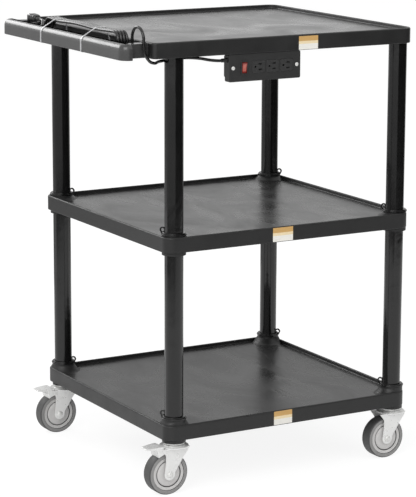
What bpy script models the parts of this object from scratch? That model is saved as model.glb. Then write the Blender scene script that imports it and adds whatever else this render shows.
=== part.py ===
"""A three-shelf utility cart with a push handle, an outlet box and four swivel casters.

Metres, +Z up, standing on Z = 0. X runs along the shelves with the push handle at -X, and the outlet box
hangs under the front of the top shelf, at -Y. The origin is under the middle of the whole cart, its cord left
aside.
"""
import math

import bmesh
import bpy
import numpy as np
from mathutils import Matrix, Vector
from mathutils.geometry import convex_hull_2d

# Clearances
GAP = 0.0003
OVERRUN = 0.002

# Legs
LEG_PITCH_X = 0.6126
LEG_PITCH_Y = 0.5904
LEG_RADIUS = 0.022
LEG_WALL = 0.0035
SOCKET_DEPTH = 0.016
FLANGE_WIDTH = 0.008
FLANGE_STEP_WIDTH = 0.0055
FLANGE_HEIGHT = 0.0055
FLANGE_STEP_HEIGHT = 0.003
EYELET_RADIUS = 0.0072
EYELET_HOLE_RADIUS = 0.0036
EYELET_THICKNESS = 0.004
EYELET_OFFSET = 0.0050
EYELET_RISE = 0.0045
EYELET_TURN = math.radians(-45)

# Shelves
SHELF_MARGIN_X = 0.0012
SHELF_MARGIN_Y = 0.0037
SHELF_HEIGHT = 0.0366
SHELF_CORNER_RADIUS = 0.030
SHELF_EDGE_RADIUS = 0.0015
LIP_WIDTH = 0.007
LIP_HEIGHT = 0.0095
DECK_THICKNESS = 0.0045
APRON_WALL = 0.004
RIB_THICKNESS = 0.004
POST_WALL = 0.0049
POST_HEAD_WALL = 0.0059
BOTTOM_POST_RISE = 0.012
MIDDLE_POST_RISE = 0.002
BOSS_WALL = 0.0060
BOSS_DROP = 0.008
LOWER_BAY = 0.4481
UPPER_BAY = 0.4501
LOWER_REACH_LEFT = 0.0340
LOWER_CORNER_RADIUS_LEFT = 0.027
TOP_REACH_LEFT = 0.0687
TOP_CORNER_RADIUS_LEFT = 0.012

# Push handle
HANDLE_REACH = 0.0775
RAIL_WIDTH = 0.025
RAIL_END_RADIUS = 0.0245
RAIL_ROUNDING = 0.0115
RAIL_BOTTOM_ROUNDING = 0.002
ARM_THICKNESS = 0.025
ARM_INSET = 0.0231
HANDLE_SCREW_LENGTH = 0.020

# Screws
SCREW_RADIUS = 0.002
SCREW_HEAD_RADIUS = 0.0045
SCREW_HEAD_HEIGHT = 0.002
SCREW_HEAD_TOP_SHARE = 0.6

# Outlet box, in its own frame: x right, y up, z out of its front
BOX_CENTRE_X = -0.023
BOX_HEIGHT = 0.0640
BOX_SETBACK = 0.0025
COVER_DEPTH = 0.020
COVER_WALL = 0.0025
COVER_CORNER_RADIUS = 0.004
COVER_EDGE_RADIUS = 0.001
HOUSING_INSET_X = 0.014
HOUSING_INSET_Y = 0.006
HOUSING_DEPTH = 0.050
HOUSING_WALL = 0.003
COVER_SCREW_MARGIN = 0.0106
SCREW_TO_SWITCH = 0.02295
SWITCH_TO_RECEPTACLE = 0.01435
RECEPTACLE_SPACE = 0.0035
RECEPTACLE_TO_SCREW = 0.011
COVER_SCREW_LENGTH = 0.010
HOUSING_SCREW_OFFSET = 0.060
HOUSING_SCREW_LENGTH = 0.012
HOUSING_SCREW_DEPTH = 0.034
HOUSING_POST_RADIUS = 0.005
SWITCH_WIDTH = 0.0135
SWITCH_HEIGHT = 0.026
BEZEL_WALL = 0.0014
BEZEL_RIM = 0.0015
BEZEL_RIM_HEIGHT = 0.0012
BEZEL_DEPTH = 0.012
ROCKER_HALF_DEPTH = 0.004
ROCKER_DISH = 0.0008
ROCKER_TILT = math.radians(8)
ROCKER_PIN_RADIUS = 0.0012
RECEPTACLES = 3
RECEPTACLE_WIDTH = 0.034
RECEPTACLE_HEIGHT = 0.028
RECEPTACLE_DEPTH = 0.024
RECEPTACLE_PROUD = 0.0008
RECEPTACLE_CORNER_RADIUS = 0.003
RECEPTACLE_FLANGE = 0.0012
RECEPTACLE_FLANGE_HEIGHT = 0.003
SLOT_LENGTH = 0.0075
SLOT_WIDTH = 0.002
SLOT_DEPTH = 0.014
SLOT_PITCH = 0.0127
SLOT_SHIFT = 0.004
GROUND_HOLE_RADIUS = 0.0025
GROUND_SHIFT = 0.0079
GLAND_RADIUS = 0.0058
GLAND_NECK_RADIUS = 0.0048
GLAND_TIP_RADIUS = 0.0045
GLAND_LENGTH = 0.0144
GLAND_FLANGE = 0.003
GLAND_RISE = 0.0185
GLAND_INSIDE = 0.004

# Casters: heights are stacked up from the floor
WHEEL_RADIUS = 0.0508
WHEEL_HALF_WIDTH = 0.016
WHEEL_TRAIL = 0.0225
WHEEL_CLEARANCE = 0.0109
TYRE_EDGE = 0.003
TYRE_THICKNESS = 0.0106
TYRE_PROUD = 0.001
HUB_RING_WIDTH = 0.0077
HUB_GROOVE_WIDTH = 0.003
HUB_GROOVE_DEPTH = 0.002
HUB_CROWN = 0.0015
HUB_BOSS_RADIUS = 0.009
HUB_BOSS_PROUD = 0.0047
AXLE_RADIUS = 0.004
AXLE_HEAD_RADIUS = 0.0075
AXLE_HEAD_HEIGHT = 0.005
AXLE_HEAD_TOP_SHARE = 0.7
RUNNING_GAP = 0.0004
FORK_THICKNESS = 0.0025
FORK_LOBE_RADIUS = 0.014
CROWN_RADIUS = 0.035
CROWN_THICKNESS = 0.003
RACE_RADIUS = 0.026
RACE_RISE = 0.002
BEARING_RADIUS = 0.020
BEARING_HEIGHT = 0.0029
CAP_RADIUS = 0.026
CAP_HEIGHT = 0.003
KING_PIN_RADIUS = 0.008
KING_HEAD_RADIUS = 0.013
KING_HEAD_HEIGHT = 0.004
STEM_RADIUS = 0.006
STEM_END_SPACE = 0.0066

# The fork's side plate: x in shares of the wheel's radius from the axle, z in shares of the height from the
# axle to the crown
FORK_FRONT_SHARES = ((1.04, 1.0), (0.93, 0.84), (0.72, 0.62), (0.46, 0.30))
FORK_REAR_SHARES = ((-0.20, 0.45), (-0.20, 0.74), (-0.30, 0.85), (-0.45, 1.0))

# Brake pedal, from its pin
PEDAL_PIN_RADIUS = 0.0025
PEDAL_PIN_OFFSET = 0.0075
PEDAL_PIN_DROP = 0.0060
PEDAL_BARREL_RADIUS = 0.0045
PEDAL_REACH = 0.050
PEDAL_RISE = 0.0135
PEDAL_THICKNESS = 0.0028
PEDAL_TIP_DROP = 0.0025
PEDAL_TIP_WIDTH_SHARE = 0.72
SKIRT_THICKNESS = 0.0016
SKIRT_DROP_SHARES = ((0.25, 0.9), (0.5, 0.62), (0.78, 0.16))
SHOE_BACK = 0.006
SHOE_FRONT_BACK = 0.020
SHOE_STEPS = 3

# Cord and what is on it
CORD_RADIUS = 0.0035
CORD_STEP = 0.014
HANK_SPACE = 0.0007
HANK_FOLD_RADIUS = 0.021
HANK_LOOPS = 4
HANK_NEAR = -0.205
HANK_FAR = 0.135
HANK_DROP = 0.0043
HANK_CLEARANCE = 0.0025
HANK_DRAW = 0.0025
LEAD_STEPS = 8
LEAD_START_BACK = 0.008
LEAD_LENGTH = 0.069
LEAD_SHIFT_LENGTH = 0.041
PLUG_CLEARANCE = 0.0125
PLUG_RISE = 0.0057
STRAP_PLACE_SHARES = (0.26, 0.89)
STRAP_WIDTH = 0.008
STRAP_THICKNESS = 0.0008
TIE_THICKNESS = 0.0012
TIE_WIDTH = 0.0035
TIE_TAIL = 0.011
TIE_PLACE_SHARE = 0.62
PLUG_WIDTH = 0.024
PLUG_HEIGHT = 0.022
PLUG_LENGTH = 0.036
PLUG_ROUNDING = 0.005
PLUG_TAIL = 0.016
PLUG_TAIL_RADIUS = 0.0065
BLADE_LENGTH = 0.0175
BLADE_WIDTH = 0.0063
BLADE_THICKNESS = 0.0015
BLADE_SEAT = 0.005
EARTH_PIN_RADIUS = 0.0024

# Facets
LEG_SIDES = 16
TYRE_SIDES = 24
WHEEL_SIDES = 16
BOLT_SIDES = 10
CORNER_STEPS = 5
CORD_STEPS = 2
HANK_STEPS = 1

# Sizes and places worked out from the sizes above
WELD = GAP / 30
FLANGE_RADIUS = LEG_RADIUS + FLANGE_WIDTH
FLANGE_STEP_RADIUS = LEG_RADIUS + FLANGE_STEP_WIDTH
EYELET_REACH = LEG_RADIUS + EYELET_OFFSET
POST_RADIUS = LEG_RADIUS + GAP + POST_WALL
POST_HEAD_RADIUS = LEG_RADIUS + GAP + POST_HEAD_WALL
BOSS_RADIUS = LEG_RADIUS + GAP + BOSS_WALL
SHELF_OVERHANG_X = POST_RADIUS + SHELF_MARGIN_X
SHELF_OVERHANG_Y = POST_RADIUS + SHELF_MARGIN_Y
STEM_LENGTH = SHELF_HEIGHT + BOSS_DROP - SOCKET_DEPTH - STEM_END_SPACE
SHELF_HALF_Y = LEG_PITCH_Y / 2 + SHELF_OVERHANG_Y
GRID_X = (TOP_REACH_LEFT + HANDLE_REACH - SHELF_OVERHANG_X) / 2
TOP_LEFT = GRID_X - LEG_PITCH_X / 2 - TOP_REACH_LEFT
SHELF_RIGHT = GRID_X + LEG_PITCH_X / 2 + SHELF_OVERHANG_X
RAIL_OUTER = TOP_LEFT - HANDLE_REACH
RAIL_INNER = RAIL_OUTER + RAIL_WIDTH
ARM_OUTER = SHELF_HALF_Y - ARM_INSET
CROWN_BOTTOM = 2 * WHEEL_RADIUS + WHEEL_CLEARANCE
CROWN_TOP = CROWN_BOTTOM + CROWN_THICKNESS
RACE_TOP = CROWN_TOP + RACE_RISE
BEARING_BOTTOM = RACE_TOP + GAP
CAP_BOTTOM = BEARING_BOTTOM + BEARING_HEIGHT
CAP_TOP = CAP_BOTTOM + CAP_HEIGHT
BOTTOM_LIP = CAP_TOP + GAP + BOSS_DROP + SHELF_HEIGHT
MIDDLE_LIP = BOTTOM_LIP + LOWER_BAY
TOP_LIP = MIDDLE_LIP + UPPER_BAY
TOP_APRON_BOTTOM = TOP_LIP - SHELF_HEIGHT
BOX_TOP = TOP_APRON_BOTTOM - GAP
BOX_CENTRE_Z = BOX_TOP - BOX_HEIGHT / 2
RECEPTACLE_PITCH = RECEPTACLE_WIDTH + RECEPTACLE_SPACE
RECEPTACLES_WIDTH = RECEPTACLES * RECEPTACLE_PITCH - RECEPTACLE_SPACE
SCREW_PITCH = SCREW_TO_SWITCH + SWITCH_WIDTH + SWITCH_TO_RECEPTACLE + RECEPTACLES_WIDTH + RECEPTACLE_TO_SCREW
COVER_SCREW_OFFSET = SCREW_PITCH / 2
SWITCH_OFFSET = -COVER_SCREW_OFFSET + SCREW_TO_SWITCH + SWITCH_WIDTH / 2
RECEPTACLE_FIRST_OFFSET = SWITCH_OFFSET + (SWITCH_WIDTH + RECEPTACLE_WIDTH) / 2 + SWITCH_TO_RECEPTACLE
BOX_WIDTH = SCREW_PITCH + 2 * COVER_SCREW_MARGIN
HOUSING_WIDTH = BOX_WIDTH - 2 * HOUSING_INSET_X
HOUSING_HEIGHT = BOX_HEIGHT - 2 * HOUSING_INSET_Y
BOX_FRONT = -SHELF_HALF_Y + BOX_SETBACK
CORNERS = {"front_left": (-1, -1), "front_right": (1, -1), "back_left": (-1, 1), "back_right": (1, 1)}
HUB_RADIUS = WHEEL_RADIUS - TYRE_THICKNESS
HUB_RING_RADIUS = HUB_RADIUS - HUB_RING_WIDTH
HUB_HALF_WIDTH = WHEEL_HALF_WIDTH - TYRE_PROUD
HUB_BOSS_HALF_WIDTH = HUB_HALF_WIDTH + HUB_BOSS_PROUD
PEDAL_PIN_BACK = WHEEL_TRAIL + PEDAL_PIN_OFFSET
CORD_DIAMETER = 2 * CORD_RADIUS
HANK_PITCH = CORD_DIAMETER + HANK_SPACE
HANK_FIRST_X = TOP_LEFT - HANK_CLEARANCE - CORD_RADIUS
HANK_HEIGHT = TOP_LIP - HANK_DROP
PLUG_X = RAIL_INNER + PLUG_CLEARANCE + PLUG_WIDTH / 2
PLUG_Z = TOP_LIP + PLUG_RISE
STRAP_PLACES = [HANK_NEAR + share * (HANK_FAR - HANK_NEAR) for share in STRAP_PLACE_SHARES]

X_AXIS_TO_Y = Matrix.Rotation(math.radians(90), 4, "Z")
Z_AXIS_TO_Y = Matrix.Rotation(math.radians(-90), 4, "X")
Z_AXIS_TO_X = Matrix.Rotation(math.radians(90), 4, "Y")

# Colour, roughness and metallic value of each material
MATERIALS = {
    "shelf_plastic": ((0.028, 0.028, 0.030), 0.45, 0.0),
    "leg_plastic": ((0.010, 0.010, 0.011), 0.25, 0.0),
    "handle_plastic": ((0.030, 0.030, 0.032), 0.38, 0.0),
    "box_plastic": ((0.016, 0.016, 0.017), 0.40, 0.0),
    "switch_red": ((0.62, 0.04, 0.03), 0.30, 0.0),
    "receptacle_black": ((0.010, 0.010, 0.011), 0.35, 0.0),
    "cord_black": ((0.012, 0.012, 0.013), 0.50, 0.0),
    "bright_steel": ((0.72, 0.72, 0.70), 0.22, 1.0),
    "zinc": ((0.78, 0.78, 0.76), 0.28, 1.0),
    "tyre_grey": ((0.20, 0.20, 0.19), 0.60, 0.0),
    "hub_grey": ((0.60, 0.60, 0.57), 0.45, 0.0),
    "clear_film": ((0.85, 0.85, 0.86), 0.15, 0.0),
}

parts = None
cutters = None


def new_collection(name):
    collection = bpy.data.collections.new(name)
    bpy.context.scene.collection.children.link(collection)
    return collection


def new_material(name):
    colour, roughness, metallic = MATERIALS[name]
    material = bpy.data.materials.new(name)
    material.use_nodes = True
    shader = material.node_tree.nodes["Principled BSDF"]
    shader.inputs["Base Color"].default_value = (*colour, 1)
    shader.inputs["Roughness"].default_value = roughness
    shader.inputs["Metallic"].default_value = metallic
    material.diffuse_color = (*colour, 1)
    return material


def baked(obj):
    """The mesh of an object as its modifiers or curve settings make it, welded and facing outwards."""
    evaluated = obj.evaluated_get(bpy.context.evaluated_depsgraph_get())
    mesh = bpy.data.meshes.new_from_object(evaluated)
    bm = bmesh.new()
    bm.from_mesh(mesh)
    bmesh.ops.remove_doubles(bm, verts=bm.verts, dist=WELD)
    bmesh.ops.recalc_face_normals(bm, faces=bm.faces)
    bm.to_mesh(mesh)
    bm.free()
    bpy.data.objects.remove(obj)
    return mesh


def scratch(data):
    obj = bpy.data.objects.new("scratch", data)
    bpy.context.scene.collection.objects.link(obj)
    return obj


def block(low, high, radii=(0, 0), edge=0, steps=CORNER_STEPS):
    """A block between two corners. Its upright edges at -X and +X take one radius each, its rims another."""
    low, high = Vector(low), Vector(high)
    size = high - low
    bm = bmesh.new()
    bmesh.ops.create_cube(bm, size=1)
    bmesh.ops.scale(bm, vec=size, verts=bm.verts)
    bmesh.ops.translate(bm, vec=(low + high) / 2, verts=bm.verts)
    middle = (low + high) / 2
    for side, radius in zip((-1, 1), radii):
        if radius:
            edges = [
                e for e in bm.edges
                if all((v.co.x - middle.x) * side > 0 for v in e.verts)
                and (e.verts[0].co.z - middle.z) * (e.verts[1].co.z - middle.z) < 0
            ]
            bmesh.ops.bevel(bm, geom=edges, offset=radius, segments=steps, profile=0.5, affect="EDGES")
    if edge:
        rims = [e for e in bm.edges if (e.verts[0].co.z - middle.z) * (e.verts[1].co.z - middle.z) > 0]
        bmesh.ops.bevel(bm, geom=rims, offset=edge, segments=1, profile=0.5, affect="EDGES")
    mesh = bpy.data.meshes.new("block")
    bm.to_mesh(mesh)
    bm.free()
    return mesh


def cylinder(radius, bottom, top, sides):
    bm = bmesh.new()
    bmesh.ops.create_cone(
        bm, cap_ends=True, segments=sides, radius1=radius, radius2=radius, depth=top - bottom
    )
    bmesh.ops.translate(bm, vec=(0, 0, (top + bottom) / 2), verts=bm.verts)
    mesh = bpy.data.meshes.new("cylinder")
    bm.to_mesh(mesh)
    bm.free()
    return mesh


def turned(profile, sides):
    """A profile of (radius, height) points turned about Z. One that starts off the axis is a closed ring."""
    ring = profile[0][0] > 0
    count = len(profile)
    edges = [(i, (i + 1) % count) for i in range(count if ring else count - 1)]
    mesh = bpy.data.meshes.new("profile")
    mesh.from_pydata([(radius, 0, height) for radius, height in profile], edges, [])
    obj = scratch(mesh)
    screw = obj.modifiers.new("turn", "SCREW")
    screw.steps = sides
    screw.render_steps = sides
    screw.use_merge_vertices = True
    screw.merge_threshold = WELD
    return baked(obj)


def plate(outlines, thickness):
    """Outlines of (x, z) points, the first one outside and the rest holes, made as thick as given along Y."""
    curve = bpy.data.curves.new("plate", "CURVE")
    curve.dimensions = "2D"
    curve.fill_mode = "BOTH"
    curve.extrude = thickness / 2
    for outline in outlines:
        spline = curve.splines.new("POLY")
        spline.points.add(len(outline) - 1)
        for point, (x, z) in zip(spline.points, outline):
            point.co = (x, z, 0, 1)
        spline.use_cyclic_u = True
    mesh = baked(scratch(curve))
    mesh.transform(Matrix.Rotation(math.radians(90), 4, "X"))
    return mesh


def tube(points, radius, bevel):
    curve = bpy.data.curves.new("tube", "CURVE")
    curve.dimensions = "3D"
    curve.bevel_depth = radius
    curve.bevel_resolution = bevel
    curve.use_fill_caps = True
    spline = curve.splines.new("POLY")
    spline.points.add(len(points) - 1)
    for point, place in zip(spline.points, points):
        point.co = (*place, 1)
    return baked(scratch(curve))


def arc(centre, radius, start, end, steps):
    """Points of an arc between two angles in degrees, both ends included."""
    angles = np.radians(np.linspace(start, end, steps + 1))
    return [(centre[0] + radius * math.cos(a), centre[1] + radius * math.sin(a)) for a in angles]


def at(x, y, z):
    return Matrix.Translation((x, y, z))


def moved(mesh, matrix):
    copy = mesh.copy()
    copy.transform(matrix)
    return copy


def gathered(meshes):
    """Several meshes as one, its bodies kept apart."""
    bm = bmesh.new()
    for mesh in meshes:
        bm.from_mesh(mesh)
    whole = bpy.data.meshes.new("group")
    bm.to_mesh(whole)
    bm.free()
    return whole


def empty(name, location, parent=None):
    obj = bpy.data.objects.new(name, None)
    obj.location = location
    obj.parent = parent
    parts.objects.link(obj)
    return obj


def piece(name, mesh, material, location=(0, 0, 0), parent=None):
    obj = bpy.data.objects.new(name, mesh)
    mesh.name = name
    mesh.materials.clear()
    mesh.materials.append(bpy.data.materials[material])
    mesh.shade_smooth()
    mesh.set_sharp_from_angle(angle=math.radians(35))
    obj.location = location
    obj.parent = parent
    parts.objects.link(obj)
    return obj


def boolean(obj, mesh, operation):
    """Cuts or joins a mesh, given in the object's own frame, and returns the object that holds it."""
    tool = bpy.data.objects.new(f"{obj.name}_{operation.lower()}_{len(obj.modifiers)}", mesh)
    tool.parent = obj
    tool.hide_render = True
    tool.display_type = "WIRE"
    cutters.objects.link(tool)
    modifier = obj.modifiers.new(tool.name, "BOOLEAN")
    modifier.operation = operation
    modifier.object = tool
    modifier.solver = "EXACT"
    return tool


def leg_places():
    """The name and the centre of each leg."""
    return {
        name: (GRID_X + sx * LEG_PITCH_X / 2, sy * LEG_PITCH_Y / 2) for name, (sx, sy) in CORNERS.items()
    }


def posts(radius, bottom, top):
    column = cylinder(radius, bottom, top, LEG_SIDES)
    return gathered([moved(column, at(x, y, 0)) for x, y in leg_places().values()])


def shelf(name, lip, reach_left, radius_left):
    """A tray, its lip at Z = 0 of its own frame, its underside hollow but for a cross rib and four posts."""
    left = GRID_X - LEG_PITCH_X / 2 - reach_left
    half_y = SHELF_HALF_Y
    body = block(
        (left, -half_y, -SHELF_HEIGHT), (SHELF_RIGHT, half_y, 0), (radius_left, SHELF_CORNER_RADIUS),
        SHELF_EDGE_RADIUS,
    )
    tray = piece(name, body, "shelf_plastic", (0, 0, lip))
    recess = block(
        (left + LIP_WIDTH, LIP_WIDTH - half_y, -LIP_HEIGHT),
        (SHELF_RIGHT - LIP_WIDTH, half_y - LIP_WIDTH, OVERRUN),
        (radius_left - LIP_WIDTH, SHELF_CORNER_RADIUS - LIP_WIDTH),
    )
    boolean(tray, recess, "DIFFERENCE")
    deck_bottom = -LIP_HEIGHT - DECK_THICKNESS
    floor = -SHELF_HEIGHT - OVERRUN
    pocket = block(
        (left + APRON_WALL, APRON_WALL - half_y, floor),
        (SHELF_RIGHT - APRON_WALL, half_y - APRON_WALL, deck_bottom),
        (radius_left - APRON_WALL, SHELF_CORNER_RADIUS - APRON_WALL),
    )
    pocket_tool = boolean(tray, pocket, "DIFFERENCE")
    below, above = floor - OVERRUN, deck_bottom + OVERRUN
    half_rib = RIB_THICKNESS / 2
    boolean(pocket_tool, block((left, -half_rib, below), (SHELF_RIGHT, half_rib, above)), "DIFFERENCE")
    rib = block((GRID_X - half_rib, -half_y, below), (GRID_X + half_rib, half_y, above))
    boolean(pocket_tool, rib, "DIFFERENCE")
    boolean(pocket_tool, posts(POST_RADIUS, below, above), "DIFFERENCE")
    return tray


def lower_shelf(name, lip, rise, bottom_hole_radius, bottom_hole_depth):
    """A shelf with legs standing on it: posts that rise past its lip, bosses below it, and their sockets."""
    tray = shelf(name, lip, LOWER_REACH_LEFT, LOWER_CORNER_RADIUS_LEFT)
    boolean(tray, posts(POST_HEAD_RADIUS, -LIP_HEIGHT - DECK_THICKNESS / 2, rise), "UNION")
    boss_bottom = -SHELF_HEIGHT - BOSS_DROP
    boolean(tray, posts(BOSS_RADIUS, boss_bottom, -SHELF_HEIGHT + BOSS_DROP), "UNION")
    boolean(tray, posts(LEG_RADIUS + GAP, rise - SOCKET_DEPTH, rise + OVERRUN), "DIFFERENCE")
    bottom_holes = posts(bottom_hole_radius, boss_bottom - OVERRUN, boss_bottom + bottom_hole_depth)
    boolean(tray, bottom_holes, "DIFFERENCE")
    return tray


def top_shelf():
    tray = shelf("top_shelf", TOP_LIP, TOP_REACH_LEFT, TOP_CORNER_RADIUS_LEFT)
    boolean(tray, posts(LEG_RADIUS + GAP, -SHELF_HEIGHT - OVERRUN, SOCKET_DEPTH - SHELF_HEIGHT), "DIFFERENCE")
    deck_bottom = -LIP_HEIGHT - DECK_THICKNESS
    housing_top = BOX_CENTRE_Z + HOUSING_HEIGHT / 2 + GAP - TOP_LIP
    post = cylinder(HOUSING_POST_RADIUS, housing_top, deck_bottom + DECK_THICKNESS / 2, BOLT_SIDES)
    hole = cylinder(SCREW_RADIUS + GAP, housing_top - OVERRUN, housing_top + HOUSING_SCREW_LENGTH, BOLT_SIDES)
    boolean(tray, gathered([moved(post, at(x, y, 0)) for x, y in housing_screw_places()]), "UNION")
    boolean(tray, gathered([moved(hole, at(x, y, 0)) for x, y in housing_screw_places()]), "DIFFERENCE")
    wall_hole = cylinder(SCREW_RADIUS + GAP, -OVERRUN, APRON_WALL + OVERRUN, BOLT_SIDES)
    places = handle_screw_places().values()
    wall_holes = [moved(wall_hole, at(TOP_LEFT, y, z - TOP_LIP) @ Z_AXIS_TO_X) for y, z in places]
    boolean(tray, gathered(wall_holes), "DIFFERENCE")
    return tray


def leg(name, foot, top, eyelet_side):
    """A tube from its socket in one shelf to its socket in the next, with a stepped flange on the lip."""
    bore = LEG_RADIUS - LEG_WALL
    step = GAP + FLANGE_STEP_HEIGHT
    flange_top = GAP + FLANGE_HEIGHT
    end = GAP - SOCKET_DEPTH
    profile = [
        (bore, top - foot), (LEG_RADIUS, top - foot), (LEG_RADIUS, flange_top),
        (FLANGE_STEP_RADIUS, flange_top), (FLANGE_STEP_RADIUS, step), (FLANGE_RADIUS, step),
        (FLANGE_RADIUS, GAP), (LEG_RADIUS, GAP), (LEG_RADIUS, end), (bore, end),
    ]
    obj = piece(name, turned(profile, LEG_SIDES), "leg_plastic")
    centre = (eyelet_side * EYELET_REACH, flange_top + EYELET_RISE)
    half = EYELET_HOLE_RADIUS
    outline = arc(centre, EYELET_RADIUS, -40, 220, 10)
    outline += [(centre[0] - half, step / 2), (centre[0] + half, step / 2)]
    hole = arc(centre, EYELET_HOLE_RADIUS, 0, 324, 9)
    eyelet = plate([outline, hole], EYELET_THICKNESS)
    boolean(obj, moved(eyelet, Matrix.Rotation(EYELET_TURN, 4, "Z")), "UNION")
    return obj


def legs():
    middle_socket = MIDDLE_LIP - SHELF_HEIGHT - BOSS_DROP + SOCKET_DEPTH - GAP
    top_socket = TOP_APRON_BOTTOM + SOCKET_DEPTH - GAP
    lower_foot = BOTTOM_LIP + BOTTOM_POST_RISE
    upper_foot = MIDDLE_LIP + MIDDLE_POST_RISE
    for name, (x, y) in leg_places().items():
        eyelet_side = -1 if y < 0 else 1
        leg(f"lower_leg_{name}", lower_foot, middle_socket, eyelet_side).location = (x, y, lower_foot)
        leg(f"upper_leg_{name}", upper_foot, top_socket, eyelet_side).location = (x, y, upper_foot)


def handle_screw_places():
    """Y and Z of the screw that holds each arm, by its name: between the deck and the apron's lower edge."""
    middle = ARM_OUTER - ARM_THICKNESS / 2
    height = TOP_LIP - (LIP_HEIGHT + DECK_THICKNESS + SHELF_HEIGHT) / 2
    return {"front": (-middle, height), "back": (middle, height)}


def push_handle():
    bottom = TOP_APRON_BOTTOM
    rail = block(
        (RAIL_OUTER, -SHELF_HALF_Y, bottom), (RAIL_INNER, SHELF_HALF_Y, TOP_LIP), (RAIL_END_RADIUS, 0), 0
    )
    bm = bmesh.new()
    bm.from_mesh(rail)
    for level, rounding, steps in ((TOP_LIP, RAIL_ROUNDING, 4), (bottom, RAIL_BOTTOM_ROUNDING, 1)):
        rims = [e for e in bm.edges if all(abs(v.co.z - level) < GAP for v in e.verts)]
        bmesh.ops.bevel(bm, geom=rims, offset=rounding, segments=steps, profile=0.5, affect="EDGES")
    bm.to_mesh(rail)
    bm.free()
    handle = piece("push_handle", rail, "handle_plastic")
    arms = []
    holes = []
    hole = cylinder(SCREW_RADIUS + GAP, -HANDLE_SCREW_LENGTH, OVERRUN, BOLT_SIDES)
    for side in (-1, 1):
        low, high = sorted((side * ARM_OUTER, side * (ARM_OUTER - ARM_THICKNESS)))
        arms.append(block(
            (RAIL_INNER - RAIL_WIDTH / 2, low, bottom + OVERRUN), (TOP_LEFT - GAP, high, TOP_LIP - OVERRUN)
        ))
    boolean(handle, gathered(arms), "UNION")
    seat = TOP_LEFT + APRON_WALL + GAP
    for name, (y, z) in handle_screw_places().items():
        holes.append(moved(hole, at(TOP_LEFT - GAP, y, z) @ Z_AXIS_TO_X))
        screw = moved(screw_mesh(HANDLE_SCREW_LENGTH), Z_AXIS_TO_X)
        piece(f"handle_screw_{name}", screw, "bright_steel", (seat, y, z))
    boolean(handle, gathered(holes), "DIFFERENCE")


def screw_mesh(length):
    """A pan head above Z = 0 and a shank below it."""
    profile = [
        (0, SCREW_HEAD_HEIGHT), (SCREW_HEAD_RADIUS * SCREW_HEAD_TOP_SHARE, SCREW_HEAD_HEIGHT),
        (SCREW_HEAD_RADIUS, 0), (SCREW_RADIUS, 0), (SCREW_RADIUS, -length), (0, -length),
    ]
    return turned(profile, BOLT_SIDES)


def housing_screw_places():
    """X and Y of each screw that hangs the outlet box from the top shelf."""
    return [(BOX_CENTRE_X + side * HOUSING_SCREW_OFFSET, BOX_FRONT + HOUSING_SCREW_DEPTH) for side in (-1, 1)]


def screw_name(kind, x):
    return f"{kind}_screw_left" if x < 0 else f"{kind}_screw_right"


def receptacle_offsets():
    return [RECEPTACLE_FIRST_OFFSET + i * RECEPTACLE_PITCH for i in range(RECEPTACLES)]


def centred(width, height, back, front, radius=0, edge=0, steps=3):
    """A block about the Z axis of the outlet box's frame."""
    low = (-width / 2, -height / 2, back)
    high = (width / 2, height / 2, front)
    return block(low, high, (radius, radius), edge, steps)


def outlet_box():
    frame = empty("outlet_frame", (BOX_CENTRE_X, BOX_FRONT, BOX_CENTRE_Z))
    frame.rotation_euler = (math.radians(90), 0, 0)
    outlet_cover(frame)
    outlet_housing(frame)
    rocker_switch(frame)
    for i, offset in enumerate(receptacle_offsets()):
        receptacle(f"receptacle_{i + 1}", offset, frame)
    seat = BOX_CENTRE_Z + HOUSING_HEIGHT / 2 - HOUSING_WALL - GAP
    flip = Matrix.Rotation(math.pi, 4, "X")
    for side, (x, y) in zip((-1, 1), housing_screw_places()):
        place = (side * COVER_SCREW_OFFSET, 0, GAP)
        piece(screw_name("cover", side), screw_mesh(COVER_SCREW_LENGTH), "bright_steel", place, frame)
        housing_screw = moved(screw_mesh(HOUSING_SCREW_LENGTH), flip)
        piece(screw_name("housing", side), housing_screw, "bright_steel", (x, y, seat))
    cord_gland()


def outlet_cover(frame):
    """The front shell: a face with its openings, and returns that run back from it."""
    shell = centred(BOX_WIDTH, BOX_HEIGHT, -COVER_DEPTH, 0, COVER_CORNER_RADIUS, COVER_EDGE_RADIUS, 4)
    cover = piece("outlet_cover", shell, "box_plastic", parent=frame)
    inside = centred(
        BOX_WIDTH - 2 * COVER_WALL, BOX_HEIGHT - 2 * COVER_WALL, -COVER_DEPTH - OVERRUN, -COVER_WALL,
        COVER_CORNER_RADIUS - COVER_WALL,
    )
    boolean(cover, inside, "DIFFERENCE")
    wall = 2 * (BEZEL_WALL + GAP)
    switch_window = centred(SWITCH_WIDTH + wall, SWITCH_HEIGHT + wall, -COVER_DEPTH, OVERRUN)
    openings = [moved(switch_window, at(SWITCH_OFFSET, 0, 0))]
    window = centred(
        RECEPTACLE_WIDTH + 2 * GAP, RECEPTACLE_HEIGHT + 2 * GAP, -COVER_DEPTH, OVERRUN,
        RECEPTACLE_CORNER_RADIUS + GAP,
    )
    openings += [moved(window, at(offset, 0, 0)) for offset in receptacle_offsets()]
    screw_hole = cylinder(SCREW_RADIUS + GAP, -COVER_DEPTH, OVERRUN, BOLT_SIDES)
    openings += [moved(screw_hole, at(side * COVER_SCREW_OFFSET, 0, 0)) for side in (-1, 1)]
    gland_hole = cylinder(GLAND_NECK_RADIUS + GAP, -OVERRUN, COVER_WALL + OVERRUN, BOLT_SIDES)
    gland_place = at(-BOX_WIDTH / 2, GLAND_RISE, -COVER_DEPTH / 2)
    openings.append(moved(gland_hole, gland_place @ Z_AXIS_TO_X))
    boolean(cover, gathered(openings), "DIFFERENCE")


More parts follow.
